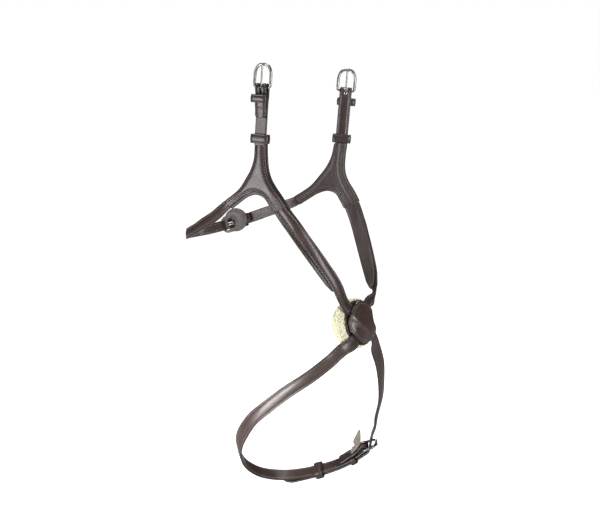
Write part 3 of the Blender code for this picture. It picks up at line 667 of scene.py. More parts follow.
def leather(name, dark, light, roughness, grain, edge_dye_and_shade_colour, sheen=0.0):
    """Waxed leather: mottled colour, pebbled grain, fine creases, and a dark burnished edge. The edge is
    dark partly from its own dye and partly from painted shade; the darkening along the crease and stitch
    grooves is painted shade.
    """
    made = Surface(name)
    broad = made.noise(made.where, 38.0, 4.0)
    fine = made.noise(made.where, 420.0)
    colour = made.ramp(broad, [(0.32, dark), (0.68, light)])
    colour = made.speckled(colour, fine, [(0.35, 0.90), (0.65, 1.06)])
    uv = made.add("UVMap")
    uv.uv_map = "strap"
    inward = made.maths("MULTIPLY", made.separated(uv.outputs["UV"], "Y"), 1 / (4 * STITCH_IN * MM))
    # The last 0.8 mm to each edge is darkened: partly the burnished edge's own dark dye, partly painted
    # shade for relief.
    burnish_and_shade = made.ramp(inward, [(0.0, 0.9), (0.04, 0.7), (0.085, 0.0)])
    colour = made.mix(burnish_and_shade, colour, edge_dye_and_shade_colour)
    # Painted shade: the crease 1.3 mm in from the edge and the stitch groove at 2.3 mm are darkened in
    # colour, besides being cut as grooves in the bump.
    crease_groove_and_shade = made.ramp(inward, [(0.115, 0), (0.14, 0.75), (0.165, 0), (0.22, 0), (0.25, 0.45), (0.28, 0)])
    colour = made.mix(made.maths("MULTIPLY", crease_groove_and_shade, 0.6), colour, edge_dye_and_shade_colour)

    jitter = made.add("VectorMath")
    jitter.operation = "MULTIPLY_ADD"
    for socket, value in zip(jitter.inputs, (made.noise(made.where, 180.0, 2.0), GRAIN_WANDER, made.where)):
        made.put(socket, value)
    cells = made.add("TexVoronoi", Vector=jitter.outputs["Vector"], Scale=grain, Randomness=1.0)
    cells.feature = "DISTANCE_TO_EDGE"
    pebble = made.ramp(cells.outputs["Distance"], [(0.0, 0.0), (0.16, 0.8), (0.5, 1.0)])
    height = made.mix(burnish_and_shade, made.mix(0.35, pebble, fine), 0.7)
    height = made.mix(crease_groove_and_shade, height, 0.0)
    return made.finish({
        "Base Color": colour,
        "Roughness": made.ramp(broad, [(0.3, roughness - 0.05), (0.7, roughness + 0.08)]),
        "Specular IOR Level": 0.55,
        "Coat Weight": 0.15,
        "Coat Roughness": 0.28,
        "Sheen Weight": sheen,
    }, height, 0.09, 0.00015)


def suede(name, dark, light):
    made = Surface(name)
    nap = made.noise(made.where, 1400.0)
    colour = made.ramp(made.noise(made.where, 60.0, 4.0), [(0.3, dark), (0.7, light)])
    colour = made.speckled(colour, nap, [(0.3, 0.8), (0.7, 1.15)])
    return made.finish({"Base Color": colour, "Roughness": 0.85, "Sheen Weight": 0.25}, nap, 0.5, 0.0002)


def thread_material():
    made = Surface("waxed thread")
    twist = made.add("TexWave", Vector=made.where, Scale=520.0, Distortion=1.5)
    twist.bands_direction = "DIAGONAL"
    broad = made.noise(made.where, 90.0, 2.0)
    colour = made.ramp(broad, [(0.3, (0.125, 0.098, 0.086)), (0.7, (0.185, 0.150, 0.132))])
    colour = made.speckled(colour, twist.outputs["Fac"], [(0.2, 0.7), (0.8, 1.2)])
    return made.finish({"Base Color": colour, "Roughness": 0.55}, twist.outputs["Fac"], 0.6, 0.0001)


def steel_material():
    made = Surface("stainless steel")
    stretch = made.add("Mapping", Vector=made.where, Scale=(1.0, 1.0, 7.0))
    scratch = made.noise(stretch.outputs["Vector"], 900.0, 4.0, 0.7)
    cloud = made.noise(made.where, 120.0)
    return made.finish({
        "Base Color": made.ramp(cloud, [(0.3, (0.24, 0.235, 0.225)), (0.7, (0.36, 0.35, 0.335))]),
        "Roughness": made.ramp(scratch, [(0.3, 0.20), (0.7, 0.32)]),
        "Metallic": 1.0,
    }, scratch, 0.08, 0.0001)


def wool_material():
    made = Surface("sheepskin wool")
    fine = made.noise(made.where, 900.0)
    broad = made.noise(made.where, 70.0, 4.0)
    colour = made.ramp(broad, [(0.3, (0.84, 0.81, 0.60)), (0.7, (0.92, 0.90, 0.70))])
    colour = made.speckled(colour, fine, [(0.3, 0.93), (0.7, 1.04)])
    return made.finish({"Base Color": colour, "Roughness": 0.9}, fine, 0.5, 0.0003)


def floor_material():
    """A white sweep that the camera sees as pure white and the leather sees as lit paper."""
    made = Surface("pale floor")
    return made.finish({
        "Base Color": made.ramp(made.noise(made.where, 3.0), [(0.3, 0.74), (0.7, 0.78)]),
        "Roughness": 0.9,
        "Emission Color": 1.0,
        "Emission Strength": made.add("LightPath").outputs["Is Camera Ray"],
    })


# ---- the noseband ----


def fork_place(side, forward, up, out):
    """A point on a fork, which bends inward along its nose leg."""
    start, along = FORK_LEG_START, FORK_LEG_ALONG
    reach = (forward - start[0]) * along[0] + (up - start[1]) * along[1]
    depth = max(0.0, reach - FORK_FLAT) ** 2 / (2 * FORK_BEND_RADIUS)
    forward += side["lean"] * min(0.0, up - FORK_TOP)
    place = np.array(side["fork"]) + forward * np.array(side["forward"])
    place = place + (out - depth) * np.array(side["out"])
    return place + np.array((0, 0, up))


def leg_rows(side, end, along):
    """A route's first rows, which lie along one leg of a fork."""
    rows = []
    for reach in (-LEG_LEAD, 0.0):
        place = fork_place(side, end[0] + reach * along[0], end[1] + reach * along[1], CHEEK_INNER)
        rows.append((*place, *side["out"]))
    return rows


def fork_edges(insets):
    """The fork's back edge, arch and front edge, each moved in by its own inset."""
    edges = []
    for edge, inset in zip((FORK_BACK, FORK_ARCH, FORK_FRONT), insets):
        curve = smooth_curve([(x, y, 0) for x, y in edge], 1.6)[:, :2]
        heading = unit(np.gradient(curve, axis=0))
        edges.append(curve + inset * np.column_stack([-heading[:, 1], heading[:, 0]]))
    return edges


def dense_loop(edges, step=1.6):
    """One closed outline through the edges, with the straight ends between them divided."""
    loop = []
    for edge, following in zip(edges, edges[1:] + edges[:1]):
        loop += list(edge)
        gap = following[0] - edge[-1]
        count = max(1, int(np.linalg.norm(gap) / step))
        loop += [edge[-1] + gap * k / count for k in range(1, count)]
    return np.array(loop)


def bump(d, where, wide):
    """A smooth ridge of height 1 at one distance in from an edge."""
    return math.exp(-(((d - where) / wide) ** 2))


def rounded(d, radius):
    """How far a rounded edge drops below its flat, at a distance in from the edge."""
    return radius - math.sqrt(max(0.0, radius**2 - (radius - min(d, radius)) ** 2))


def leg_fade(x, y):
    """1 over most of a fork, down to a strap's own low crown at the ends of its legs."""
    nose = np.hypot(x - NOSE_LEG_END[0], y - NOSE_LEG_END[1])
    jaw = np.hypot(x - JAW_LEG_END[0], y - JAW_LEG_END[1])
    return 0.3 + 0.7 * float(smoothstep(min(nose, jaw), 4.0, 26.0))


def build_fork(side):
    name = side["name"]

    def place(x, y, z):
        return fork_place(side, x, y, z)

    def facing_top(x, y, d):
        crown = RAISED * (1 - (1 - min(d, PILLOW) / PILLOW) ** 2)
        dip = FORK_DIP * bump(d, STITCH_IN, 0.5)
        return CHEEK_INNER + LEATHER - rounded(d, 0.9) + crown * leg_fade(x, y) - dip

    def facing_low(x, y, d):
        return CHEEK_INNER + rounded(d, 0.5)

    edges = fork_edges(FACING_INSETS)
    plate(name + "_fork_facing_leather", dense_loop(edges), [], 2.0, facing_top, facing_low, place,
          BRIDLE, (name + "_fork_facing",), edges)
    for index, edge in enumerate(edges):
        path_stitches(f"{name}_fork_stitches_{index}", edge, False, STITCH_IN,
                      lambda x, y: facing_top(x, y, STITCH_IN) + 0.1, place)

    lining_inner = CHEEK_INNER - GAP - LINING

    def lining_top(x, y, d):
        return lining_inner + LINING - rounded(d, 1.3)

    outer = fork_edges((0.0, 0.0, 0.0))
    outer[0] = np.vstack([outer[0][0] + (0, TUCK), outer[0]])
    outer[2] = np.vstack([outer[2], outer[2][-1] + (0, TUCK)])

    def lining_low(x, y, d):
        """Two padded ridges run side by side down to the nose leg, and one along each other edge."""
        spot = np.array([(x, y)])
        front = open_distance(spot, outer[2:])[0]
        other = open_distance(spot, outer[:2])[0]
        ridge = max(bump(front, 3.2, 1.5), bump(front, 10.8, 1.5), bump(other, 3.2, 1.5))
        seam = bump(front, 14.0, 0.5) * float(smoothstep(other, 1.0, 4.0))
        return lining_inner + rounded(d, 1.4) - 1.1 * ridge + 0.6 * seam

    plate(name + "_fork_lining_leather", dense_loop(outer), [], 1.6, lining_top, lining_low, place,
          SOFT, (name + "_fork_lining",), outer)
    for index, edge in enumerate(outer):
        path_stitches(f"{name}_fork_lining_stitches_{index}", edge, False, 5.6,
                      lambda x, y: lining_inner + 0.05,
                      lambda x, y, z: place(x, y, 2 * lining_inner - z + 0.1))


def band(name, matrix, half_width, inner, outer, tall, stands_for, body="straps"):
    """A leather loop with rounded edges about the matrix's Y axis."""
    middle, half_depth = (inner + outer) / 2, (outer - inner) / 2
    around = 72
    centre = []
    for k in range(around):
        turn = 2 * math.pi * k / around
        c, s = math.cos(turn), math.sin(turn)
        centre.append((math.copysign(abs(c) ** (1 / 3), c) * half_width,
                       math.copysign(abs(s) ** (1 / 3), s) * half_depth))
    centre = np.array(centre)
    heading = unit(np.roll(centre, -1, axis=0) - np.roll(centre, 1, axis=0))
    outward = np.column_stack([heading[:, 1], -heading[:, 0]])
    profile = []
    half = tall / 2
    for d in (0.0, 0.1, 0.3, 0.55, 0.9, 1.3, 1.6, 1.9, 2.4):
        groove = 0.16 * bump(d, 1.6, 0.25)
        height = KEEPER_WALL - rounded(d, 0.55) + 0.3 * float(smoothstep(d, 1.6, 2.6)) - groove
        profile.append((-half + d, height, d))
    profile += [(0.0, KEEPER_WALL + 0.32, half)] + [(-y, z, d) for y, z, d in reversed(profile)]
    profile += [(half - d, rounded(d, 0.4), d) for d in (0.1, 0.4)]
    profile += [(-half + d, rounded(d, 0.4), d) for d in (0.4, 0.1)]
    points, uv = [], []
    for (x, z), (ox, oz) in zip(centre, outward):
        for y, depth, d in profile:
            points.append((x + ox * depth, y, middle + z + oz * depth))
            uv.append((x, d))
    faces = ring_faces(around, len(profile), True)
    flip_if_inside_out(add_piece(name, moved(matrix, points), faces, uv, BRIDLE, (stands_for,), body))


def buckle_path(half, length):
    """A buckle frame's outline: a straight bar and a rounded front, as closely spaced points."""
    corner = 2.5
    arch = []
    for step in range(49):
        turn = math.pi * step / 48
        c, s = math.cos(turn), math.sin(turn)
        reach = half * math.copysign(abs(c) ** 0.75, c)
        rise = 0.35 + 0.65 * s**0.75 if s > 0.01 else 0.0
        arch.append((reach, corner + (length - corner) * rise, 0))
    foot = [(x, 0, 0) for x in np.linspace(-half + corner, half - corner, 9)]
    right = [(half - 1.4, 0.25, 0), (half - 0.6, 0.8, 0), (half - 0.12, 1.6, 0)]
    left = [(-x, y, z) for x, y, z in reversed(right)]
    path = np.array(foot + right + arch + left)
    closed = np.vstack([path, path[:1]])
    reach = distances(closed)
    even = np.linspace(0, reach[-1], 110, endpoint=False)
    return np.column_stack([np.interp(even, reach, closed[:, k]) for k in range(3)])


def build_buckle(name, matrix, half, length, tongue_body=None):
    """The frame and its tongue, which rides on its own body unless another is given."""
    frame_body, tongue_node = name + "_buckle", name + "_buckle_tongue"
    path = buckle_path(half, length)
    radii = np.where(path[:, 1] > 2.0, WIRE_RADIUS * 1.12, WIRE_RADIUS)
    tube(name + "_buckle_frame", path, radii, True, matrix, 0.9, 18, (frame_body,), frame_body)
    ring = []
    for degrees in range(258, -1, -8):
        turn = math.radians(degrees)
        ring.append((0, -RING_RADIUS * math.sin(turn), RING_RADIUS * math.cos(turn)))
    reach = length + WIRE_RADIUS
    shank = [(0, y, RING_RADIUS - 0.05 * math.sin(math.pi * y / reach))
             for y in np.linspace(0.8, reach - 0.8, 18)]
    tip = [(0, reach - 0.35, RING_RADIUS), (0, reach - 0.08, RING_RADIUS), (0, reach, RING_RADIUS)]
    path = np.array(ring + shank + tip)
    radii = np.array([TONGUE_RADIUS] * (len(ring) + len(shank)) + [0.85, 0.55, 0.15])
    tube(name + "_tongue_pin", path, radii, False, matrix, 1.0, 14,
         (tongue_node,), tongue_body or tongue_node)


def cut_slot(thing, matrix, size):
    """Cuts a box, its size in millimetres, through a finished piece."""
    ends = (-0.5, 0.5)
    corners = np.array([(x, y, z) for x in ends for y in ends for z in ends]) * size
    faces = [(0, 1, 3, 2), (4, 6, 7, 5), (0, 4, 5, 1), (2, 3, 7, 6), (0, 2, 6, 4), (1, 5, 7, 3)]
    mesh = bpy.data.meshes.new("slot")
    mesh.from_pydata(((moved(matrix, corners) - CENTRE) * MM).tolist(), [], faces)
    box = bpy.data.objects.new("slot", mesh)
    bpy.context.scene.collection.objects.link(box)
    boolean = thing.modifiers.new("cut", "BOOLEAN")
    boolean.object = box
    boolean.operation = "DIFFERENCE"
    boolean.solver = "EXACT"
    bpy.context.view_layer.update()
    depsgraph = bpy.context.evaluated_depsgraph_get()
    result = bpy.data.meshes.new_from_object(
        thing.evaluated_get(depsgraph), preserve_all_data_layers=True, depsgraph=depsgraph)
    thing.modifiers.remove(boolean)
    thing.data = result
    bpy.data.objects.remove(box)


def build_cheek(side):
    name = side["name"]
    bar, up, out = cheek_frame(side)
    matrix = frame_matrix(bar, up, out)
    profile = [(FORK_TOP - 0.25, -FOLD_RADIUS), (-40, -FOLD_RADIUS), (-20, -FOLD_RADIUS), (0, -FOLD_RADIUS)]
    rows = [(*(bar + z * up + n * out), *(-out)) for z, n in profile]
    for degrees in range(150, -1, -30):
        turn = math.radians(degrees)
        facing = math.sin(turn) * up + math.cos(turn) * out
        rows.append((*(bar + FOLD_RADIUS * facing), *facing))
    turned_back = [(-4, 1.3), (-8, 0.3), (-13, 0.1), (-19, 0.1), (-25, -1.3), (-CHEEK_TURNBACK, -1.6)]
    rows += [(*(bar + z * up + n * out), *out) for z, n in turned_back]
    route = Route(rows)
    end = route.length
    widths = [(0, CHEEK_WIDTH), (end - 4, CHEEK_WIDTH), (end - 1.5, CHEEK_WIDTH - 1.5),
              (end, CHEEK_WIDTH - 4)]
    strap = sweep(name + "_cheek_leather", route, 0, end, widths, 0, LEATHER, BRIDLE,
                  (name + "_cheek_strap",), crown=0.12, step=1.1, joined=True)
    cut_slot(strap, shifted(matrix, 0, 0.9, 0), (SLOT_WIDTH, 10.2, 16))
    cut_slot(strap, shifted(matrix, 0, -3.3, 4.5), (SLOT_WIDTH, 7.8, 8))
    fold_at = route.nearest(bar + FOLD_RADIUS * up)
    strap_stitches(name + "_cheek_stitches_out", route, fold_at + 12, end - 1.5, widths, 0)
    strap_stitches(name + "_cheek_stitches_in", route, 3, fold_at - 12, widths, 0)
    build_buckle(name + "_cheek", matrix, CHEEK_BUCKLE_HALF, CHEEK_BUCKLE_LENGTH)
    half = CHEEK_WIDTH / 2 + 0.9
    shift = (1 if name == "right" else -1) * side["keeper_forward"]
    band(name + "_cheek_keeper_loop", shifted(matrix, shift, -CHEEK_KEEPER_AT, 0), half + abs(shift),
         -0.35, 6.7, CHEEK_KEEPER_TALL, name + "_cheek_keeper")
    band(name + "_cheek_runner_loop", shifted(matrix, 0, -CHEEK_RUNNER_AT, 0), half + 1.7,
         -5.8, 0.8, CHEEK_RUNNER_TALL, name + "_cheek_runner", name + "_cheek_runner")
    build_fork(side)


def nose_place(across, up, lift):
    """A point on the nose, and the direction out of it."""
    turn = across / NOSE_RADIUS
    rise = np.array((0.0, math.sin(NOSE_LEAN), math.cos(NOSE_LEAN)))
    front = np.array((0.0, -math.cos(NOSE_LEAN), math.sin(NOSE_LEAN)))
    out = math.sin(turn) * np.array((1.0, 0.0, 0.0)) + math.cos(turn) * front
    centre = np.array(NOSE_CENTRE) - NOSE_RADIUS * front
    return centre + up * rise + (NOSE_RADIUS + lift) * out, out


def fade(value, start, end):
    return 1 - float(smoothstep(value, start, end))


def upper_lift(distance):
    return UPPER_STRAP_LIFT * fade(abs(distance), 9, 25)


def crossing_rows(slant, lift):
    rows = []
    for distance in (-27, -20, -13.5, -7, 0, 7, 13.5, 20, 27):
        place, out = nose_place(slant[0] * distance, slant[1] * distance, lift(distance))
        rows.append((*place, *out))
    return rows


def strap_cover(across, up):
    """The height of the disc's front sheet over its own dome and the two straps that cross under it."""
    top = LEATHER + 3 * GAP
    heights = [0.5 + DOME_RISE * (1 - min(1.0, (across * across + up * up) / DISC_RADIUS**2))]
    for slant, lift in ((LOWER_SLANT, 0.0), (UPPER_SLANT, UPPER_STRAP_LIFT)):
        distance = slant[0] * across + slant[1] * up
        off = abs(slant[1] * across - slant[0] * up)
        rise = top + lift * fade(abs(distance), 11, 30)
        heights.append(0.3 + (rise - 0.3) * fade(off, NOSE_WIDTH / 2 - 1.0, 17))
    return sum(height**4 for height in heights) ** (1 / 4) + 0.1


def circle(radius, count):
    turns = np.linspace(0, 2 * math.pi, count, endpoint=False)
    return radius * np.column_stack([np.cos(turns), np.sin(turns)])


def build_disc():
    def place(x, y, z):
        return nose_place(x, y, z)[0]

    def front_top(x, y, d):
        groove = 0.3 * bump(d, 2.6, 0.5)
        return strap_cover(x, y) + DISC_SHEET - rounded(d, 1.0) - groove

    def front_low(x, y, d):
        return strap_cover(x, y) + rounded(d, 0.5)

    def back_top(x, y, d):
        return -0.2 - rounded(d, 0.7)

    def back_low(x, y, d):
        return -0.2 - DISC_SHEET + rounded(d, 0.7)

    rim = circle(DISC_RADIUS, 110)
    front_rim = circle(DISC_RADIUS - 2.2, 110)
    plate("nose_disc_front_leather", front_rim, [], 1.6, front_top, front_low, place,
          DISC, ("nose_disc_front",))
    plate("nose_disc_back_leather", rim, [], 2.4, back_top, back_low, place, DISC, ("nose_disc_back",))
    path_stitches("nose_disc_stitches", front_rim, True, 2.6,
                  lambda x, y: strap_cover(x, y) + DISC_SHEET - 0.25, place)


def build_pad():
    """The sheepskin: a swollen pad under the disc with thousands of separate curled locks."""
    rng = random.Random(PAD_SEED)
    columns, rows = 40, 24
    inner, outer = -DISC_SHEET - 0.5 - PAD_THICKNESS, -DISC_SHEET - 0.5

    def skin(turn, t):
        """A point on the pad: t goes from the middle of the inner face round the rim to the outer face."""
        angle = math.pi * t
        radial = math.sin(angle) ** 0.55 if 0 < angle < math.pi else 0.0
        swell = math.cos(angle) * abs(math.cos(angle)) ** -0.35
        lift = (inner + outer) / 2 - swell * (outer - inner) / 2 * 0.86
        x = (PAD_HALF_WIDTH - 2.5) * radial * math.cos(turn)
        y = (PAD_HALF_HEIGHT - 2.5) * radial * math.sin(turn)
        return nose_place(x, y, lift)[0]

    points, faces = [skin(0, 0)], []
    for i in range(1, rows):
        points += [skin(2 * math.pi * k / columns, i / rows) for k in range(columns)]
    points.append(skin(0, 1))
    last = len(points) - 1
    for i in range(rows - 2):
        a, b = 1 + i * columns, 1 + (i + 1) * columns
        faces += [(a + k, b + k, b + (k + 1) % columns, a + (k + 1) % columns) for k in range(columns)]
    faces += [(0, 1 + k, 1 + (k + 1) % columns) for k in range(columns)]
    end = 1 + (rows - 2) * columns
    faces += [(last, end + (k + 1) % columns, end + k) for k in range(columns)]
    pad = add_piece("sheepskin_backing", points, faces, None, WOOL, ("sheepskin_pad",))
    flip_if_inside_out(pad)

    locks, lock_faces = [], []
    sides, rings = 5, 5
    lock = ring_faces(rings, sides, flipped=True)
    middle = nose_place(0, 0, (inner + outer) / 2)[0]
    for _ in range(LOCKS):
        t = rng.uniform(0.04, 0.93)
        turn = rng.uniform(0, 2 * math.pi)
        here = skin(turn, t)
        over = skin(turn + 0.02, t) - here
        down = skin(turn, t + 0.01) - here
        normal = np.cross(over, down)
        if np.linalg.norm(normal) < 1e-9:
            continue
        normal = unit(normal)
        if normal @ (here - middle) < 0:
            normal = -normal
        over = unit(over)
        third = np.cross(normal, over)
        length = rng.uniform(2.2, 4.0)
        lean = rng.uniform(0, 2 * math.pi)
        sway = (math.cos(lean) * over + math.sin(lean) * third) * rng.uniform(0.5, 1.5)
        curl = rng.uniform(0, 2 * math.pi)
        first = len(locks)
        for r in range(rings):
            f = r / (rings - 1)
            spiral = 0.5 * f * (math.cos(curl + 4 * f) * over + math.sin(curl + 4 * f) * third)
            rise = here - 0.6 * normal + normal * length * f * (1 - 0.25 * f)
            centre = rise + sway * f * f * 1.6 + spiral
            radius = 0.95 * (1 - f) ** 0.5 + 0.12
            for k in range(sides):
                angle = 2 * math.pi * k / sides
                locks.append(centre + radius * (math.cos(angle) * over + math.sin(angle) * third))
        lock_faces += [tuple(first + corner for corner in face) for face in lock]
    add_piece("sheepskin_wool", locks, lock_faces, None, WOOL)


def fold_rows(route, bar_at, profile):
    """A strap's end: up to the bar, half round it, and back along itself by the profile."""
    rows = []
    for back in (12, 6, 2, 0):
        place, _, out = route.at(bar_at - back)
        rows.append((*place, *out))
    place, along, out = route.at(bar_at)
    bar = place - FOLD_RADIUS * out
    for degrees in range(30, 181, 30):
        turn = math.radians(degrees)
        facing = math.sin(turn) * along + math.cos(turn) * out
        rows.append((*(bar + FOLD_RADIUS * facing), *facing))
    for back, height in profile:
        place, _, out = route.at(bar_at - back)
        rows.append((*(place + height * out), *(-out)))
    return rows


def tail_rows(route, bar_at, steep, ahead, tail, droop):
    """A billet's end: steeply over the buckle's bar, and on along the outside of the other strap."""
    place, along, out = route.at(bar_at)
    facing = math.sin(steep) * along + math.cos(steep) * out
    rows = [(*(place + t * along + n * out), *facing) for t, n in ahead]
    bar = place - FOLD_RADIUS * out
    for degrees in (math.degrees(steep) * 0.6, 0):
        turn = math.radians(degrees)
        facing = math.sin(turn) * along + math.cos(turn) * out
        rows.append((*(bar + (FOLD_RADIUS + TAIL_LIFT) * facing), *facing))
    for back in range(6, int(tail) + 1, 8):
        there, _, outward = route.at(bar_at - back)
        hang = droop * max(0.0, back / tail - 0.6) ** 2 / 0.16
        rows.append((*(there + (TAIL_LIFT + hang) * outward - (0, 0, hang / 2)), *outward))
    return rows


def hole_matrix(route, bar_at, steep):
    """Where a buckle's tongue goes through the billet."""
    place, along, out = route.at(bar_at)
    matrix = frame_matrix(place + TONGUE_MEETS[0] * along + TONGUE_MEETS[1] * out, along, out)
    return turned(matrix, -steep)


def build_crossing_straps():
    left_rows = leg_rows(LEFT, NOSE_LEG_END, FORK_LEG_ALONG) + LEFT_NOSE
    left_rows += crossing_rows(LOWER_SLANT, lambda distance: 0.0) + CHIN_LOOP
    chin = Route(left_rows)
    bar_at = chin.length
    turned_back = [(5, -3.2), (12, -2.1), (16, -1.9), (24, -1.9), (30, -0.7), (37, -0.4)]
    buckle_strap = Route(left_rows[:-1] + fold_rows(chin, bar_at, turned_back))
    end = buckle_strap.length
    widths = [(0, NOSE_WIDTH), (150, NOSE_WIDTH), (210, CHIN_WIDTH), (end - 3, CHIN_WIDTH),
              (end, CHIN_WIDTH - 3)]
    aside = [(STRAP_START, 1.1), (STRAP_START + 24, 2.0), (STRAP_START + 95, 2.0), (124, 0)]
    left = sweep("left_crossing_leather", buckle_strap, STRAP_START, end, widths, GAP, LEATHER, BRIDLE,
                 ("left_crossing_strap",), crown=0.6, joined=True, aside=aside)
    cut_slot(left, shifted(chin.frame(bar_at, -FOLD_RADIUS), 0, -0.5, 0), (SLOT_WIDTH, 13, 14))
    disc_from, disc_to = disc_span(chin)
    for index, (start, stop) in enumerate(((STRAP_START, disc_from), (disc_to, bar_at - 12))):
        strap_stitches(f"left_crossing_stitches_{index}", buckle_strap, start + 1, stop, widths,
                       aside=aside)
    strap_stitches("left_crossing_stitches_in", buckle_strap, disc_to, bar_at - 42, widths, under=True)

    ahead = [(17, -11.0), (11, -5.4), (7, -1.8)]
    right_rows = leg_rows(RIGHT, NOSE_LEG_END, FORK_LEG_ALONG) + RIGHT_NOSE
    right_rows += crossing_rows(UPPER_SLANT, upper_lift) + LEFT_STRAND
    billet = Route(right_rows + tail_rows(chin, bar_at, CHIN_STEEP, ahead, CHIN_TAIL, 3.0))
    end = billet.length
    widths = [(0, NOSE_WIDTH), (150, NOSE_WIDTH), (200, CHIN_WIDTH), (end - 11, CHIN_WIDTH),
              (end - 4, CHIN_WIDTH - 4.5), (end, 4)]
    aside = [(where, -shift) for where, shift in aside]
    right = sweep("right_crossing_leather", billet, STRAP_START, end, widths, GAP, LEATHER, BRIDLE,
                  ("right_crossing_strap",), crown=0.6, joined=True, aside=aside)
    cut_slot(right, hole_matrix(chin, bar_at, CHIN_STEEP), (SLOT_WIDTH, 7.5, 9))
    disc_from, disc_to = disc_span(billet)
    bar_on_billet = billet.nearest(chin.at(bar_at)[0])
    spans = ((STRAP_START, disc_from), (disc_to, bar_on_billet - 14), (bar_on_billet + 10, end - 9))
    for index, (start, stop) in enumerate(spans):
        strap_stitches(f"right_crossing_stitches_{index}", billet, start + 1, stop, widths, aside=aside)
    strap_stitches("right_crossing_stitches_in", billet, disc_to, bar_on_billet - 14, widths, under=True)

    stop = NOSE_LINING_END
    widths = [(0, NOSE_LINING_WIDTH), (stop - 14, NOSE_LINING_WIDTH - 2),
              (stop - 4, NOSE_LINING_WIDTH - 6), (stop, 8)]
    for name, route in (("right", billet), ("left", buckle_strap)):
        sweep(name + "_nose_lining_leather", route, STRAP_START, stop, widths, -LINING, LINING, SOFT,
              (name + "_nose_lining",), stitched=False, edge=1.3, padded=1.2, joined=True)
    return chin, bar_at


def disc_span(route):
    """Where a crossing strap goes under the disc's front and comes out again."""
    near = np.linalg.norm(route.place - nose_place(0, 0, 1.0)[0], axis=1)
    reach = route.reach[near < DISC_RADIUS - 1]
    return reach[0], reach[-1]


def build_chin_buckle(chin, bar_at):
    half = CHIN_WIDTH / 2 + 1.2 + WIRE_RADIUS
    matrix = turned(chin.frame(bar_at, -FOLD_RADIUS), BUCKLE_TILT)
    build_buckle("chin", matrix, half, CHIN_BUCKLE_LENGTH, "chin_buckle")
    within = CHIN_WIDTH / 2 + 1.3
    band("chin_keeper_loop", chin.frame(bar_at - CHIN_KEEPER_AT), within, -0.3, 6.6, 8.0, "chin_keeper")
    band("chin_runner_loop", chin.frame(bar_at - CHIN_RUNNER_AT), within, -1.6, 7.3, 10.0,
         "chin_runner", "chin_runner")
    place, along, out = chin.at(bar_at)
    bar = place - FOLD_RADIUS * out
    up = np.array((0.0, 0.0, 1.0))
    rows = []
    for back, height in ((16, -5.6), (10, -6.4)):
        there, _, outward = chin.at(bar_at - back)
        rows.append((*(there + height * outward), *(-outward)))
    rows.append((*(bar - 5 * along - 6.6 * out + 6.0 * up), -0.7, -0.3, 0.6))
    rows.append((*(bar - 2 * along - 6.5 * out + 17.0 * up), -0.85, -0.5, 0.1))
    leaf = Route(rows)
    widths = [(0, 12), (10, 12), (leaf.length - 1, 2.6), (leaf.length, 1.4)]
    sweep("chin_guard_leather", leaf, 0, leaf.length, widths, 0, 1.6, FLESH, ("chin_buckle_guard",),
          stitched=False, edge=0.5)


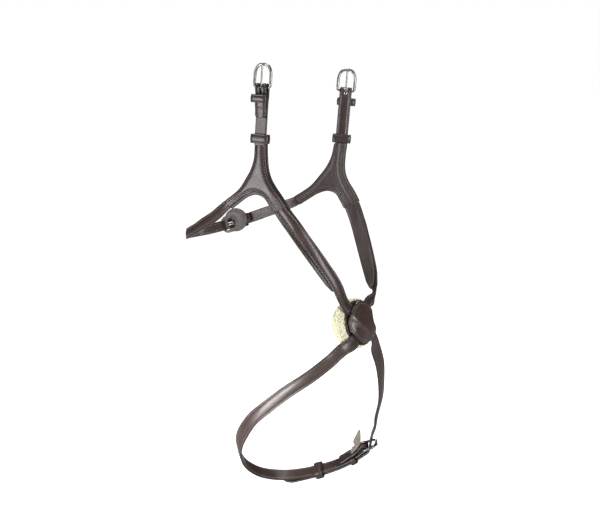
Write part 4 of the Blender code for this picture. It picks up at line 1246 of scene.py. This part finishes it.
def build_jaw():
    rows = leg_rows(LEFT, JAW_LEG_END, JAW_LEG_ALONG) + JAW_LOOP
    rows += reversed(leg_rows(RIGHT, JAW_LEG_END, JAW_LEG_ALONG))
    jaw = Route(rows)
    bar_at = jaw.nearest(JAW_BAR)
    before_bar = [row for row in rows if jaw.nearest(row[:3]) < bar_at - 1]
    turned_back = [(4, -3.1), (8, -2.1), (15, -2.0), (19, -0.7), (22, -0.4)]
    buckle_strap = Route(before_bar + fold_rows(jaw, bar_at, turned_back))
    end = buckle_strap.length
    widths = [(0, 10.6), (24, JAW_WIDTH), (end - 2, JAW_WIDTH), (end, JAW_WIDTH - 2)]
    begin = STRAP_START
    left = sweep("jaw_buckle_strap_leather", buckle_strap, begin, end, widths, GAP, LEATHER, BRIDLE,
                 ("jaw_buckle_strap",), crown=0.5, joined=True)
    cut_slot(left, shifted(jaw.frame(bar_at, -FOLD_RADIUS), 0, -0.5, 0), (SLOT_WIDTH, 13, 14))
    strap_stitches("jaw_buckle_strap_stitches", buckle_strap, begin + 1, bar_at - 9, widths)
    strap_stitches("jaw_buckle_strap_stitches_in", buckle_strap, begin + 1, bar_at - 24, widths, under=True)

    after_bar = list(reversed([row for row in rows if jaw.nearest(row[:3]) > bar_at + 50]))
    for distance, height in ((42, -1.5), (32, -4.0), (24, -5.5)):
        place, _, out = jaw.at(bar_at + distance)
        after_bar.append((*(place + height * out), *out))
    ahead = [(16, -5.6), (11, -3.0), (6.5, 0.1)]
    billet = Route(after_bar + tail_rows(jaw, bar_at, JAW_STEEP, ahead, JAW_TAIL, 0.0))
    end = billet.length
    widths = [(0, 10.6), (24, 13.0), (80, JAW_WIDTH), (end - 9, JAW_WIDTH), (end - 3, JAW_WIDTH - 4),
              (end, 4)]
    right = sweep("jaw_billet_leather", billet, begin, end, widths, GAP, LEATHER, BRIDLE,
                  ("jaw_billet",), crown=0.5, joined=True)
    cut_slot(right, hole_matrix(jaw, bar_at, JAW_STEEP), (SLOT_WIDTH + 0.4, 9.0, 9))
    bar_on_billet = billet.nearest(jaw.at(bar_at)[0])
    strap_stitches("jaw_billet_stitches", billet, begin + 1, bar_on_billet - 12, widths)
    strap_stitches("jaw_billet_stitches_in", billet, begin + 1, bar_on_billet - 20, widths, under=True)

    matrix = turned(jaw.frame(bar_at, -FOLD_RADIUS), BUCKLE_TILT)
    build_buckle("jaw", matrix, JAW_WIDTH / 2 + 1.2 + WIRE_RADIUS, JAW_BUCKLE_LENGTH)
    band("jaw_keeper_loop", jaw.frame(bar_at - JAW_KEEPER_AT), JAW_WIDTH / 2 + 1.0, -0.3, 6.5, 6.0,
         "jaw_keeper")

    def place(x, y, z):
        there, along, out = jaw.at(bar_at + GUARD_CENTRE + x)
        return there + (GUARD_LIFT + z) * out + (GUARD_RISE + y) * np.cross(out, along)

    def top(x, y, d):
        return GUARD_THICKNESS - rounded(d, 1.1) + 0.3 * float(smoothstep(d, 2.6, 5))

    def low(x, y, d):
        dip = 0.3 * bump(d, 2.3, 0.5)
        return rounded(d, 1.2) - 0.5 * float(smoothstep(d, 2.6, 6)) + dip

    outline = circle(1.0, 90) * (GUARD_HALF_LONG, GUARD_HALF_TALL)
    shift = -GUARD_CENTRE + 0.6
    turns = np.linspace(0, 2 * math.pi, 32, endpoint=False)
    hole = np.column_stack([shift + 4.5 * np.sign(np.cos(turns)) * np.abs(np.cos(turns)) ** 0.6,
                            -GUARD_RISE + 6.0 * np.sign(np.sin(turns)) * np.abs(np.sin(turns)) ** 0.6])
    plate("jaw_guard_leather", outline, [hole], 2.0, top, low, place, GUARD, ("jaw_buckle_guard",))
    path_stitches("jaw_guard_stitches", outline, True, 2.3, lambda x, y: -0.3,
                  lambda x, y, z: place(x, y, -0.3 - z - 0.1))


def area_light(name, place, target, size, power):
    light = bpy.data.lights.new(name, "AREA")
    light.shape = "RECTANGLE"
    light.size, light.size_y = size
    light.energy = power
    thing = bpy.data.objects.new(name, light)
    bpy.context.scene.collection.objects.link(thing)
    thing.location = place
    thing.rotation_euler = (Vector(target) - Vector(place)).to_track_quat("-Z", "Y").to_euler()
    thing.visible_camera = False


def build_studio():
    low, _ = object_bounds()
    mesh = bpy.data.meshes.new("studio_floor")
    reach, level = 60.0, low.z - 0.012
    corners = ((-1, -1), (1, -1), (1, 1), (-1, 1))
    mesh.from_pydata([(reach * x, reach * y, level) for x, y in corners], [], [(0, 1, 2, 3)])
    mesh.materials.append(floor_material())
    floor = bpy.data.objects.new("studio_floor", mesh)
    bpy.context.scene.collection.objects.link(floor)

    world = bpy.data.worlds.new("studio")
    world.use_nodes = True
    made = Shading(world.node_tree)
    direction = made.add("TexCoord").outputs["Generated"]
    across = made.maths("MULTIPLY_ADD", made.separated(direction, "X"), -0.5, 0.5)
    walls = made.ramp(across, [(0.05, 0.07), (0.45, 0.12), (0.95, 0.30)])
    seen = made.mix(made.add("LightPath").outputs["Is Camera Ray"], walls, 1.0)
    made.put(world.node_tree.nodes["Background"].inputs["Color"], seen)
    bpy.context.scene.world = world
    for name, direction, distance, size, power in LIGHTS:
        place = np.array(LIGHT_TARGET) + distance * unit(np.array(direction))
        area_light(name, place, LIGHT_TARGET, size, power)
    area_light("floor_card", (-0.21, 0.035, level + 0.004), (-0.055, 0.0, -0.354), (0.12, 0.14), 1.3)

    view = bpy.data.cameras.new("camera")
    view.sensor_width = CAMERA_SENSOR
    view.lens = CAMERA_SENSOR * CAMERA_DISTANCE / VIEW_WIDTH
    view.clip_start, view.clip_end = 0.05, 100.0
    camera = bpy.data.objects.new("camera", view)
    bpy.context.scene.collection.objects.link(camera)
    aim = Vector(CAMERA_TARGET)
    back = Vector((math.sin(CAMERA_AZIMUTH) * math.cos(CAMERA_ELEVATION),
                   -math.cos(CAMERA_AZIMUTH) * math.cos(CAMERA_ELEVATION), math.sin(CAMERA_ELEVATION)))
    camera.location = aim + CAMERA_DISTANCE * back
    camera.rotation_euler = (-back).to_track_quat("-Z", "Y").to_euler()
    bpy.context.scene.camera = camera


LIGHT_TARGET = (-0.02, 0.0, -0.22)
# Each light's name, direction from the target, distance, size and power, in metres and watts.
LIGHTS = [
    ("left_softbox", (-0.93, 0.33, -0.05), 1.3, (0.35, 0.6), 9),
    ("front_softbox", (-0.20, -0.90, 0.12), 1.5, (0.35, 0.9), 15),
    ("top_softbox", (-0.20, -0.10, 1.00), 1.6, (0.7, 0.7), 10),
    ("back_softbox", (0.75, 0.65, 0.30), 1.7, (0.5, 0.9), 10),
]
CAMERA_AZIMUTH = math.radians(-53)
CAMERA_ELEVATION = math.radians(5)
CAMERA_DISTANCE = 1.6
CAMERA_TARGET = (-0.0165, -0.00425, -0.1936)
CAMERA_SENSOR = 36.0
VIEW_WIDTH = 0.69

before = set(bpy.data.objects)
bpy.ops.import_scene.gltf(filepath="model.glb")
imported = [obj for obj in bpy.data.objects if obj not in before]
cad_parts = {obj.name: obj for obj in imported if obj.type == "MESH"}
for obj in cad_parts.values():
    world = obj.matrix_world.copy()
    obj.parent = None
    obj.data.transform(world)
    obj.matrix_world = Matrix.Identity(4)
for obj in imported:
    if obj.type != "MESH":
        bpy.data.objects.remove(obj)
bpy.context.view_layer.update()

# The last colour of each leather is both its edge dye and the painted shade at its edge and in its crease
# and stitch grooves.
BRIDLE = leather("bridle leather", (0.026, 0.0145, 0.012), (0.046, 0.027, 0.023),
                 0.35, 1500.0, (0.011, 0.007, 0.006))
SOFT = leather("lining leather", (0.024, 0.0145, 0.0125), (0.042, 0.027, 0.023),
               0.5, 1300.0, (0.020, 0.013, 0.011), sheen=0.1)
DISC = leather("disc leather", (0.036, 0.020, 0.016), (0.060, 0.035, 0.028),
               0.34, 1500.0, (0.015, 0.009, 0.007))
GUARD = leather("guard leather", (0.066, 0.054, 0.050), (0.112, 0.095, 0.088),
                0.5, 1400.0, (0.035, 0.026, 0.022))
FLESH = suede("flesh side", (0.15, 0.13, 0.11), (0.24, 0.21, 0.185))
THREAD = thread_material()
STEEL = steel_material()
WOOL = wool_material()

for cheek in (RIGHT, LEFT):
    build_cheek(cheek)
build_disc()
build_pad()
chin_route, chin_bar_at = build_crossing_straps()
build_chin_buckle(chin_route, chin_bar_at)
build_jaw()
build_studio()
bpy.context.scene.view_settings.view_transform = "Standard"
